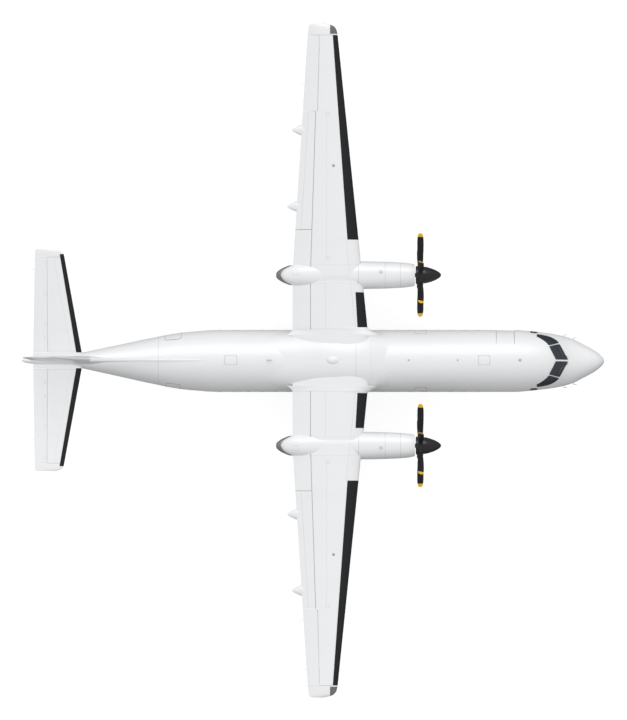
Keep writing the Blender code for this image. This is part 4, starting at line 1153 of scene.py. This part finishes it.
spinnerProfile = (
    (5.490, 0.003), (5.486, 0.030), (5.470, 0.065), (5.430, 0.105), (5.386, 0.140), (5.300, 0.190),
    (5.220, 0.233), (5.120, 0.272), (5.000, 0.312), (4.900, 0.340), (4.8403, 0.354),
)
hubProfile = (
    (4.84, 0.02), (4.84, 0.345), (4.832, 0.355), (4.46, 0.385), (4.41, 0.390), (4.40, 0.380),
    (4.40, 0.09), (4.0005, 0.09), (4.0005, 0.02),
)
intakeTable = np.array(((4.6, 0.24, 2.51, 2.67), (3.9, 0.20, 2.53, 2.66)))
mouthTable = np.array(((-1.35, 0.160, 2.795, 2.915), (-1.54, 0.140, 2.798, 2.912), (-1.70, 0.055, 2.832, 2.878)))


def nacellePieces(side, name):
    label = name.capitalize()
    y = side * layout["nacelleY"]
    rear = makePiece("nacelleSkin" + label, [bodyGrid(nacelleTable, 90, 80, y, 2.3, "end")], "airframe", "nacelle", ["nacelle_" + name])
    low, high = wellSpec["main"]
    well = cutterFrom("well", boxGrid((low[0], y + low[1], low[2]), (high[0], y + high[1], high[2])))
    shroud = cutterFrom("shroud", bodyGrid(exhaustTable, 50, 80, y, 2.0, "end", grow=0.006))
    carve(rear, well, shroud)
    cowl = makePiece("cowlSkin" + label, [bodyGrid(cowlTable, 60, 80, y, 2.3, "start")], "airframe", "nacelle", ["cowl_" + name])
    hollowTable = cowlTable[1:] - np.array((0, 0.045, -0.045, 0.045))
    hollowTable[-1, 0] = 2.05
    hollow = cutterFrom("hollow", bodyGrid(hollowTable, 30, 64, y, 2.3))
    hole = cutterFrom("hole", turnGrid(((4.6, 0.12), (3.9, 0.12)), (0, y, layout["propZ"]), steps=48))
    intake = cutterFrom("intake", bodyGrid(intakeTable, 2, 48, y, 2.6))
    carve(cowl, hollow, hole, intake)
    lipPath = bodyGrid(np.array(((4.335, 0.245, 2.505, 2.675), (4.33, 0.245, 2.505, 2.675))), 2, 64, y, 2.6)[0]
    lipPath = np.concatenate([lipPath, lipPath[:1]])
    makePiece("intakeLip" + label, [tubeGrid(lipPath, 0.014, 12)], "airframe", "boot", capped=True)
    shroud = makePiece("exhaustShroud" + label, [bodyGrid(exhaustTable, 50, 80, y, 2.0, "end")], "airframe", "hot", ["exhaust_" + name])
    mouth = cutterFrom("mouth", bodyGrid(mouthTable, 20, 60, y, 2.0))
    carve(shroud, mouth)
    body = "propeller_body_" + name
    makePiece("blades" + label, [bladeGrid(number, y) for number in range(bladeSpec["count"])], body, "blade", sharp=50)
    cuffs = []
    for number in range(bladeSpec["count"]):
        angle = bladeSpec["phase"] + 2 * math.pi * number / bladeSpec["count"]
        root = (layout["propX"], y + 0.36 * math.cos(angle), layout["propZ"] + 0.36 * math.sin(angle))
        cuffs.append(pebble(root, (0.11, 0.10, 0.10)))
    hub = [turnGrid(hubProfile, (0, y, layout["propZ"]))]
    makePiece("hubDrum" + label, hub + cuffs, body, "spinner", ["propeller_" + name])
    nose = [turnGrid(spinnerProfile, (0, y, layout["propZ"]), smooth=4)]
    makePiece("spinnerNose" + label, nose, body, "spinner", ["spinner_" + name], sharp=50)


for side, name in ((1, "left"), (-1, "right")):
    nacellePieces(side, name)

print("wheels")
wheelSpec = {
    "main": {"x": 0.50, "z": 0.429284, "radius": 0.4292, "width": 0.273, "rim": 0.240, "spacing": 0.235},
    "nose": {"x": 10.20, "z": 0.302391, "radius": 0.3023, "width": 0.196, "rim": 0.165, "spacing": 0.160},
    "grooves": (-0.36, -0.12, 0.12, 0.36),
    "bolts": 10,
}


def tyreGrid(wheel, centre):
    # bead, bulged sidewall and a crown with grooves, swept round the axle
    half = wheel["width"] / 2
    rim = wheel["rim"] + 0.001
    radius = wheel["radius"]
    wall = ((0.62, 0.0), (0.78, 0.05), (0.93, 0.25), (1.0, 0.52), (0.98, 0.68), (0.92, 0.80), (0.80, 0.91), (0.68, 0.96))
    profile = [(half * out, rim + (radius - rim) * up) for out, up in wall]
    crown = np.linspace(0.60, -0.60, 49) * half
    height = radius - 0.0072 * (crown / (0.6 * half)) ** 2
    for at in wheelSpec["grooves"]:
        height = height - 0.010 * (np.abs(crown - at * half) < 0.035 * half)
    profile += list(zip(crown, height))
    profile += [(-across, height) for across, height in reversed(profile[:8])]
    profile.append(profile[0])
    return turnGrid(profile, centre, "y", 120)


def rimGrid(wheel, centre, out):
    # a dished disc with a hub cap and a flanged edge
    half = wheel["width"] * 0.31
    shape = (
        (0.55, 0.016), (0.55, 0.16), (0.40, 0.20), (0.30, 0.30), (0.34, 0.62), (0.60, 0.78), (0.94, 0.86), (1.0, 0.90),
        (1.0, 0.985), (0.9, 0.995), (-1.0, 0.995), (-1.0, 0.90), (-0.5, 0.80), (-0.3, 0.4), (-0.3, 0.016),
    )
    return turnGrid([(out * half * along, wheel["rim"] * up) for along, up in shape], centre, "y", 72)


def wheelPair(label, body, wheel, y, rimNode, tyreNodes):
    x, z, rim, half = wheel["x"], wheel["z"], wheel["rim"], wheel["width"] * 0.31
    metal = []
    for out, node in ((1, tyreNodes[0]), (-1, tyreNodes[1])):
        centre = np.array((x, y + out * wheel["spacing"], z))
        makePiece(label + "Tyre" + ("Outer" if out > 0 else "Inner"), [tyreGrid(wheel, centre)], body, "rubber", [node], capped=False)
        metal.append(rimGrid(wheel, centre, out))
        for number in range(wheelSpec["bolts"]):
            angle = 2 * math.pi * number / wheelSpec["bolts"]
            spot = np.array((rim * 0.46 * math.cos(angle), out * half * 0.34, rim * 0.46 * math.sin(angle)))
            metal.append(pebble(centre + spot, (rim * 0.05, 0.016, rim * 0.05), 6, 8))
    spacing = wheel["spacing"]
    axle = turnGrid(((-spacing, 0.004), (-spacing, 0.044), (spacing, 0.044), (spacing, 0.004)), (x, y, z), "y", 32)
    makePiece(label + "Rims", metal + [axle], body, "steel", [rimNode])


for side, name in ((1, "left"), (-1, "right")):
    nodes = ["main_%s_tyre_%s" % (name, which) for which in ("left", "right")]
    body = "main_wheel_pair_" + name
    wheelPair("main" + name.capitalize(), body, wheelSpec["main"], side * layout["nacelleY"], "main_%s_wheels" % name, nodes)
wheelPair("nose", "nose_wheel_pair", wheelSpec["nose"], 0.0, "nose_wheels", ["nose_tyre_left", "nose_tyre_right"])

print("landing gear")
mainLeg = {
    "cylinder": (
        (1.18, 0.03), (1.18, 0.088), (1.19, 0.096), (1.24, 0.096), (1.25, 0.086), (1.90, 0.086), (1.91, 0.098),
        (2.02, 0.098), (2.03, 0.086), (2.56, 0.086), (2.58, 0.110), (2.73, 0.110), (2.779, 0.090), (2.779, 0.03),
    ),
    "piston": (0.50, 1.22, 0.056),
    "link": ((0.085, 0.0, 0.50), (0.24, 0.0, 0.84), (0.090, 0.0, 1.22)),
    "brace": ((0.0, 1.40), (-0.66, 2.58)),
    "hose": ((0.09, 0.06, 0.50), (0.15, 0.08, 0.80), (0.12, 0.09, 1.10), (0.09, 0.085, 1.50), (0.09, 0.085, 2.30), (0.05, 0.10, 2.60)),
}


def mainGear(side, name):
    label = name.capitalize()
    x, y, z = 0.50, side * layout["nacelleY"], 0.429284
    low, high, radius = mainLeg["piston"]
    cylinder = turnGrid(mainLeg["cylinder"], (x, y, 0), "z", 48)
    (_, braceLow), (braceX, braceHigh) = mainLeg["brace"]
    knee = (x + braceX / 2, y, (braceLow + braceHigh) / 2)
    grids = [cylinder]
    for out in (1, -1):
        top = (x + braceX, y + out * 0.07, braceHigh)
        grids.append(barGrid((x, y + out * 0.10, braceLow), top, (0.020, 0.042)))
        grids.append(pebble((x, y + out * 0.10, braceLow), (0.05, 0.03, 0.05)))
        grids.append(pebble(top, (0.06, 0.04, 0.06)))
    grids.append(tubeGrid([(x + braceX, y - 0.13, braceHigh), (x + braceX, y + 0.13, braceHigh)], 0.032))
    grids.append(tubeGrid([(knee[0], y - 0.10, knee[2]), (knee[0], y + 0.10, knee[2])], 0.022))
    grids.append(tubeGrid([(x, y - 0.336, 2.66), (x, y + 0.336, 2.66)], 0.052, 24))
    lower, elbow, upper = (np.array(mainLeg["link"][i]) + np.array((x, y, 0)) for i in range(3))
    grids.append(barGrid(lower, elbow, (0.045, 0.020), taper=0.55))
    grids.append(barGrid(upper, elbow, (0.060, 0.020), taper=0.55))
    grids.append(tubeGrid([elbow - (0, 0.04, 0), elbow + (0, 0.04, 0)], 0.022))
    grids.append(turnGrid(((-0.098, 0.05), (-0.098, 0.075), (-0.09, 0.083), (0.09, 0.083), (0.098, 0.075), (0.098, 0.05)), (x, y, z), "y", 40))
    grids.append(turnGrid(((0.46, 0.02), (0.46, 0.070), (0.56, 0.070), (0.57, 0.058), (0.57, 0.02)), (x, y, 0), "z", 40))
    leg = makePiece("mainLeg" + label, grids, "airframe", "gear", ["main_leg_" + name])
    makePiece("mainPiston" + label, [turnGrid(((0.55, 0.02), (0.55, radius), (1.20, radius), (1.20, 0.02)), (x, y, 0), "z", 40)], "airframe", "chrome")
    hoses = []
    for out in (1, -1):
        path = [(x + a, y + out * b, c) for a, b, c in mainLeg["hose"]]
        hoses.append(tubeGrid(bendPath(path, 40), 0.010, 10))
    makePiece("brakeHoses" + label, hoses, "airframe", "seal")
    for out in (1, -1):
        discs = turnGrid(((0.102, 0.055), (0.102, 0.150), (0.118, 0.160), (0.132, 0.150), (0.132, 0.055)), (x, y, z), "y", 48)
        if out < 0:
            discs = discs * np.array((1, -1, 1)) + np.array((0, 2 * y, 0))
        makePiece("brakePack" + label + ("Outer" if out > 0 else "Inner"), [discs], "airframe", "dark")


def doorPanels(name, node, reach, y, half, heights, body="airframe"):
    # two open gear doors: a bent profile of rounded thickness carried along the door's length, with a stiffened edge
    start, end = reach
    top, knee, bottom = heights
    share = np.linspace(0, 1, 26)
    z = top + (bottom - top) * share
    flare = 0.06 * np.clip((knee - z) / (knee - bottom), 0, 1) ** 1.4
    outer = half - 0.0004 + flare
    grids = []
    for side in (1, -1):
        across = np.concatenate([outer, (outer - 0.019)[::-1]])
        up = np.concatenate([z, z[::-1]])
        x = start + (end - start) * np.array((0.0, 0.004, 0.996, 1.0))
        shrink = np.array((0.7, 1.0, 1.0, 0.7))[:, None]
        middle = np.concatenate([outer - 0.0095, (outer - 0.0095)[::-1]])
        grid = np.empty((4, len(up), 3))
        grid[..., 0] = x[:, None]
        grid[..., 1] = y + side * (middle + (across - middle) * shrink)
        grid[..., 2] = up
        grids.append(grid)
        hinge = [(start + 0.06, y + side * (half - 0.03), top - 0.03), (end - 0.06, y + side * (half - 0.03), top - 0.03)]
        grids.append(tubeGrid(hinge, 0.012))
        for at in (0.25, 0.75):
            spot = start + (end - start) * at
            rib = [(spot, y + side * (half - 0.024), top - 0.06), (spot, y + side * (half - 0.024), knee)]
            grids.append(barGrid(*rib, (0.004, 0.018), taper=0.9))
    tube = [(end - 0.06, y - half + 0.01, top - 0.06), (end - 0.06, y + half - 0.01, top - 0.06)]
    grids.append(tubeGrid(tube, 0.022, 20))
    makePiece(name, grids, body, "plain", [node])


for side, name in ((1, "left"), (-1, "right")):
    mainGear(side, name)
    y = side * layout["nacelleY"]
    doorPanels("mainDoors" + name.capitalize(), "main_doors_" + name, (-0.73, 0.38), y, 0.34, (2.62, 2.17, 1.74))
doorPanels("noseDoors", "nose_doors", (10.68, 11.18), 0.0, 0.27, (1.00, 0.66, 0.55))

noseLeg = {
    "fixed": ((0.861, 0.03), (0.861, 0.080), (0.875, 0.084), (0.93, 0.084), (0.94, 0.074), (1.12, 0.074), (1.13, 0.09), (1.199, 0.09), (1.199, 0.03)),
    "turning": ((0.765, 0.02), (0.765, 0.066), (0.775, 0.072), (0.850, 0.072), (0.8593, 0.064), (0.8593, 0.02)),
    "foot": ((0.24, 0.012), (0.24, 0.052), (0.36, 0.052), (0.38, 0.046), (0.38, 0.012)),
    "hub": ((-0.052, 0.050), (-0.052, 0.062), (0.052, 0.062), (0.052, 0.050)),
}
x = wheelSpec["nose"]["x"]
z = wheelSpec["nose"]["z"]
fixed = [turnGrid(noseLeg["fixed"], (x, 0, 0), "z", 48)]
for out in (1, -1):
    fixed.append(barGrid((x, out * 0.05, 1.0), (11.17, out * 0.04, 1.12), (0.014, 0.026)))
    fixed.append(tubeGrid([(x - 0.02, out * 0.085, 0.93), (x - 0.02, out * 0.085, 1.15)], 0.026, 20))
fixed.append(tubeGrid([(x, -0.268, 1.16), (x, 0.268, 1.16)], 0.03, 20))
fixed.append(tubeGrid([(11.16, -0.09, 1.12), (11.16, 0.09, 1.12)], 0.026, 20))
makePiece("noseLegFixed", fixed, "airframe", "gear", ["nose_leg"])
turning = [turnGrid(noseLeg["turning"], (x, 0, 0), "z", 48), turnGrid(noseLeg["foot"], (x, 0, 0), "z", 40)]
turning.append(turnGrid(noseLeg["hub"], (x, 0, z), "y", 40))
turning.append(barGrid((x - 0.045, 0, 0.36), (x - 0.155, 0, 0.55), (0.030, 0.012), taper=0.6))
turning.append(barGrid((x - 0.055, 0, 0.79), (x - 0.155, 0, 0.56), (0.034, 0.012), taper=0.6))
turning.append(tubeGrid([(x - 0.155, -0.028, 0.555), (x - 0.155, 0.028, 0.555)], 0.014, 16))
makePiece("noseStrutTurning", turning, "nose_steering", "gear", ["nose_strut"])
makePiece("nosePiston", [turnGrid(((0.37, 0.012), (0.37, 0.044), (0.775, 0.044), (0.775, 0.012)), (x, 0, 0), "z", 40)], "nose_steering", "chrome")
lampPlaces = [((x + 0.085, out * 0.085, 0.93), (0.035, 0.055, 0.055)) for out in (1, -1)]
makePiece("taxiLamps", [pebble(*place) for place in lampPlaces], "airframe", "lens")

print("glazing")
paneSpec = {
    "front": ((10.436, 0.043), (10.150, 0.594), (10.600, 0.700), (10.960, 0.043)),
    "side": (
        (10.120, 0.654), (9.620, 1.030), (9.646, 1.127), (10.570, 0.760),
        (9.925, 0.848), (9.628, 1.078), (10.185, 1.020), (10.350, 0.702),
    ),
    "rear": ((9.60, 2.34), (9.36, 2.36), (9.34, 2.06), (9.70, 2.02)),
    "lift": 0.006,
    "seal": 1.035,
}


def paneCorners(side):
    corners = [[(x, skinAngle(x, side * y)) for x, y in paneSpec[key]] for key in ("front", "side")]
    corners.append([(x, skinAngleAtHeight(x, z, side)) for x, z in paneSpec["rear"]])
    return corners


def widen(corners, share):
    # four corners moved away from their middle
    corners = np.array(corners)
    return corners.mean(axis=0) + (corners - corners.mean(axis=0)) * share


panes = paneCorners(1) + paneCorners(-1)
padPiece("cockpitPanes", panes, "airframe", "glass", round=34.0, rise=paneSpec["lift"], rings=10, steps=128)
seals = [widen(corners, paneSpec["seal"]) for corners in panes]
padPiece("cockpitSeals", seals, "airframe", "seal", round=36.0, rise=0.009, inner=0.955, rings=3, steps=128)
wipers = []
for side in (1, -1):
    points = [skinPoint(np.array([a]), np.array([skinAngle(a, side * b)]), 0.022)[0] for a, b in ((10.98, 0.10), (10.86, 0.22), (10.66, 0.36))]
    wipers.append(tubeGrid(bendPath(points, 16), 0.008, 8))
    blade = [skinPoint(np.array([a]), np.array([skinAngle(a, side * b)]), 0.016)[0] for a, b in ((10.78, 0.12), (10.66, 0.36), (10.56, 0.58))]
    wipers.append(tubeGrid(bendPath(blade, 16), 0.007, 8))
makePiece("wipers", wipers, "airframe", "seal")

windowSpec = {"first": 7.10, "pitch": 0.585, "count": 21, "half": 0.115, "tall": 0.165, "z": 1.91, "rim": 1.22}
windows = []
for side in (1, -1):
    for number in range(windowSpec["count"]):
        at = windowSpec["first"] - number * windowSpec["pitch"]
        windows.append(sideCorners(at, windowSpec["z"], windowSpec["half"], windowSpec["tall"], side))
padPiece("cabinWindows", windows, "airframe", "glass", round=3.2, rise=0.003, rings=5, steps=32)
rims = [widen(corners, windowSpec["rim"]) for corners in windows]
padPiece("windowRims", rims, "airframe", "hull", round=3.4, rise=0.005, inner=0.84, rings=3, steps=40)

print("doors and hatches")
outlineSpec = {
    "rearDoor": (-6.05, 2.02, 0.36, 0.78, 1),
    "serviceDoor": (-6.05, 2.02, 0.31, 0.62, -1),
    "bay": (9.10, 1.50, 0.46, 0.56, -1),
    "bayLeft": (9.30, 1.20, 0.30, 0.28, 1),
    "exitLeft": (4.62, 2.10, 0.26, 0.46, 1),
    "exitRight": (4.62, 2.10, 0.26, 0.46, -1),
    "width": 0.972,
}
outlines = []
for key, place in outlineSpec.items():
    if key != "width":
        outlines.append(sideCorners(*place))
padPiece("doorLines", outlines, "airframe", "seal", round=9.0, rise=0.0015, depth=0.01, inner=outlineSpec["width"], rings=2, steps=96)
handles = [widen(corners, 0.12) for corners in outlines]
padPiece("doorHandles", handles, "airframe", "plate", round=6.0, rise=0.006, rings=3, steps=24)

hatchSpec = {
    "hull": ((-3.84, -3.28, 0.21), (7.08, 7.60, 0.21)),
    "small": ((3.44, 3.64, 0.19),),
    "dots": ((4.09, 0.045), (6.20, 0.040), (8.88, 0.070), (-7.20, 0.035)),
}
rings = [crownCorners(low, high, half) for low, high, half in hatchSpec["hull"]]
small = [crownCorners(low, high, half) for low, high, half in hatchSpec["small"]]
outer = [widen(corners, 1.0) for corners in rings]
padPiece("crownHatchRims", outer, "airframe", "plate", round=14.0, rise=0.003, inner=0.965, rings=2, steps=80)
padPiece("crownHatches", [widen(corners, 0.90) for corners in rings], "airframe", "plain", round=14.0, rise=0.005, rings=6, steps=80)
inner = [widen(corners, 0.905) for corners in rings]
padPiece("crownHatchLines", inner, "airframe", "plate", round=14.0, rise=0.006, inner=0.965, rings=2, steps=80)
dots = [crownCorners(x - size, x + size, size) for x, size in hatchSpec["dots"]]
padPiece("crownDots", dots, "airframe", "plate", round=2.0, rise=0.006, crown=0.004, rings=4, steps=28)

print("aerials, probes and lights")
aerialSpec = {
    "crown": ((-1.76, 3.18), (-1.86, 3.60), (-2.00, 3.60), (-2.03, 3.18)),
    "belly": ((3.12, 0.60), (2.98, 0.24), (2.86, 0.24), (2.84, 0.60)),
    "half": 0.012,
    "dome": ((0.83, 0.0, 3.50), (0.27, 0.17, 0.088)),
}


def bladeAerial(front, frontTip, backTip, back):
    # a swept fin: lens sections between a leading and a trailing line, rounded at the tip
    share = np.concatenate([np.linspace(0, 0.94, 12), [0.97, 0.985, 0.996]])[:, None]
    lead = np.array(front) + share * (np.array(frontTip) - np.array(front))
    trail = np.array(back) + share * (np.array(backTip) - np.array(back))
    close = np.sqrt(1 - np.clip((share - 0.86) / 0.14, 0, 1) ** 2) * 0.5 + 0.5
    middle = (lead + trail) / 2
    reach = (lead - trail) / 2 * close
    turn = np.linspace(0, 2 * np.pi, 32, endpoint=False)
    grid = np.empty((len(share), 32, 3))
    grid[..., 0] = middle[:, :1] + reach[:, :1] * np.cos(turn)
    grid[..., 1] = aerialSpec["half"] * close * np.sin(turn)
    grid[..., 2] = middle[:, 1:] + reach[:, 1:] * np.cos(turn)
    return grid


makePiece("crownAerial", [bladeAerial(*aerialSpec["crown"])], "airframe", "plate", ["crown_aerial"])
makePiece("bellyAerial", [bladeAerial(*aerialSpec["belly"])], "airframe", "plain", ["belly_aerial"])
makePiece("crownDome", [pebble(*aerialSpec["dome"], 24, 48)], "airframe", "plain", ["crown_dome"])

probeSpec = {"places": ((10.81, 1.01), (11.23, 0.865)), "length": 0.14, "radius": 0.011, "stand": 0.075}
probes = []
for side in (1, -1):
    for px, py in probeSpec["places"]:
        half, low, high = hermite(wholeHull, np.array([px]))[0]
        angle = side * math.radians(97)
        foot = skinPoint(np.array([px]), np.array([angle]), -0.01)[0]
        out = skinPoint(np.array([px]), np.array([angle]), probeSpec["stand"])[0]
        tip = out + np.array((probeSpec["length"], 0, 0))
        probes.append(tubeGrid(bendPath([foot, (foot + out) / 2, out, (out + tip) / 2, tip], 20), probeSpec["radius"], 12))
makePiece("airProbes", probes, "airframe", "steel")

wickSpec = {
    "wing": (11.2, 11.9, 12.6, 13.3),
    "tail": (3.4, 3.9, 4.3),
    "length": 0.16,
    "radius": 0.004,
}
wicks = {"aileron_body_": [], "elevator_body_": []}
for side, name in ((1, "left"), (-1, "right")):
    for key, family, table, body in (
        ("wing", wingFamily, wingTable, "aileron_body_"), ("tail", tailFamily, tailTable, "elevator_body_"),
    ):
        grids = []
        for span in wickSpec[key]:
            trail = np.interp(span, table[:, 0], table[:, 2])
            ends = family[1](np.array([trail + 0.03, trail - wickSpec["length"]]), np.array([span, span]), 0.0, side)
            grids.append(tubeGrid(ends, wickSpec["radius"], 8))
        makePiece(key + "Wicks" + name.capitalize(), grids, body + name, "seal")

beaconSpec = {"top": (-11.8, 8.30), "belly": (-1.0, 0.53)}
makePiece("bellyBeacon", [pebble((beaconSpec["belly"][0], 0, beaconSpec["belly"][1]), (0.07, 0.06, 0.05))], "airframe", "red")
tailLamp = [pebble((-12.515, 0, 2.98), (0.032, 0.035, 0.035))]
makePiece("tailLamp", tailLamp, "airframe", "lens")

landingSpec = {"reach": (1.335, 1.60), "x": 2.16, "z": 2.75}

print("stage")
for name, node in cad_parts.items():
    kind = "gear" if name.startswith(("main_leg", "nose_leg", "nose_strut")) else "dark" if name.startswith("engine") else "plain"
    node.data.materials.clear()
    node.data.materials.append(looks[kind])

cameraSpec = {
    "scale": 23.24,
    "frame": (627, 720),
    "distance": 400.0,
    "tilt": math.radians(1.4),
    "aim": (0.0, 0.013, 3.0),
}
camera = bpy.data.objects.new("camera", bpy.data.cameras.new("camera"))
scene.collection.objects.link(camera)
scene.camera = camera
camera.data.sensor_fit = "VERTICAL"
camera.data.sensor_height = 24.0
camera.data.lens = 24.0 * cameraSpec["distance"] * cameraSpec["scale"] / cameraSpec["frame"][1]
camera.data.clip_end = 4000.0
aim = np.array(cameraSpec["aim"])
tilt = cameraSpec["tilt"]
camera.location = aim + cameraSpec["distance"] * np.array((0.0, -math.sin(tilt), math.cos(tilt)))
camera.rotation_euler = (tilt, 0.0, 0.0)

stageSpec = {"reach": 1500.0, "flat": 450.0, "steps": 48, "sides": 96, "rise": 0.9}
radius = np.linspace(0, 1, stageSpec["steps"])[:, None] ** 2 * stageSpec["reach"]
turn = np.linspace(0, 2 * np.pi, stageSpec["sides"], endpoint=False)[None, :]
lift = np.clip(radius - stageSpec["flat"], 0, None) ** 2 / stageSpec["reach"] * stageSpec["rise"]
bowl = np.stack([radius * np.cos(turn), radius * np.sin(turn), lift + 0 * turn], -1)
floorMesh = bpy.data.meshes.new("floor")
floorMesh.from_pydata(bowl.reshape(-1, 3).tolist(), [], gridFaces(*bowl.shape[:2]).tolist())
tidyMesh(floorMesh, 30.0)
floorMesh.materials.append(floorLook("floorPale"))
floor = bpy.data.objects.new("floor", floorMesh)
scene.collection.objects.link(floor)
floor.visible_diffuse = False
floor.visible_glossy = False
floor.visible_shadow = False

lightSpec = {"above": 0.70, "below": 0.20, "sun": 1.5, "spread": 40.0, "tilt": -44.0}
world = bpy.data.worlds.new("world")
world.use_nodes = True
tree = world.node_tree
coords = tree.nodes.new("ShaderNodeTexCoord")
axes = tree.nodes.new("ShaderNodeSeparateXYZ")
ramp = tree.nodes.new("ShaderNodeMapRange")
tree.links.new(coords.outputs["Generated"], axes.inputs[0])
tree.links.new(axes.outputs["Z"], ramp.inputs["Value"])
for key, value in (("From Min", -0.25), ("From Max", 0.25), ("To Min", lightSpec["below"]), ("To Max", lightSpec["above"])):
    ramp.inputs[key].default_value = value
background = tree.nodes["Background"]
background.inputs["Color"].default_value = (1, 1, 1, 1)
tree.links.new(ramp.outputs[0], background.inputs["Strength"])
scene.world = world
sunData = bpy.data.lights.new("key", "SUN")
sunData.energy = lightSpec["sun"]
sunData.angle = math.radians(lightSpec["spread"])
sunData.use_shadow = False
sun = bpy.data.objects.new("key", sunData)
sun.rotation_euler = (math.radians(lightSpec["tilt"]), 0, 0)
scene.collection.objects.link(sun)
scene.view_settings.view_transform = "Standard"
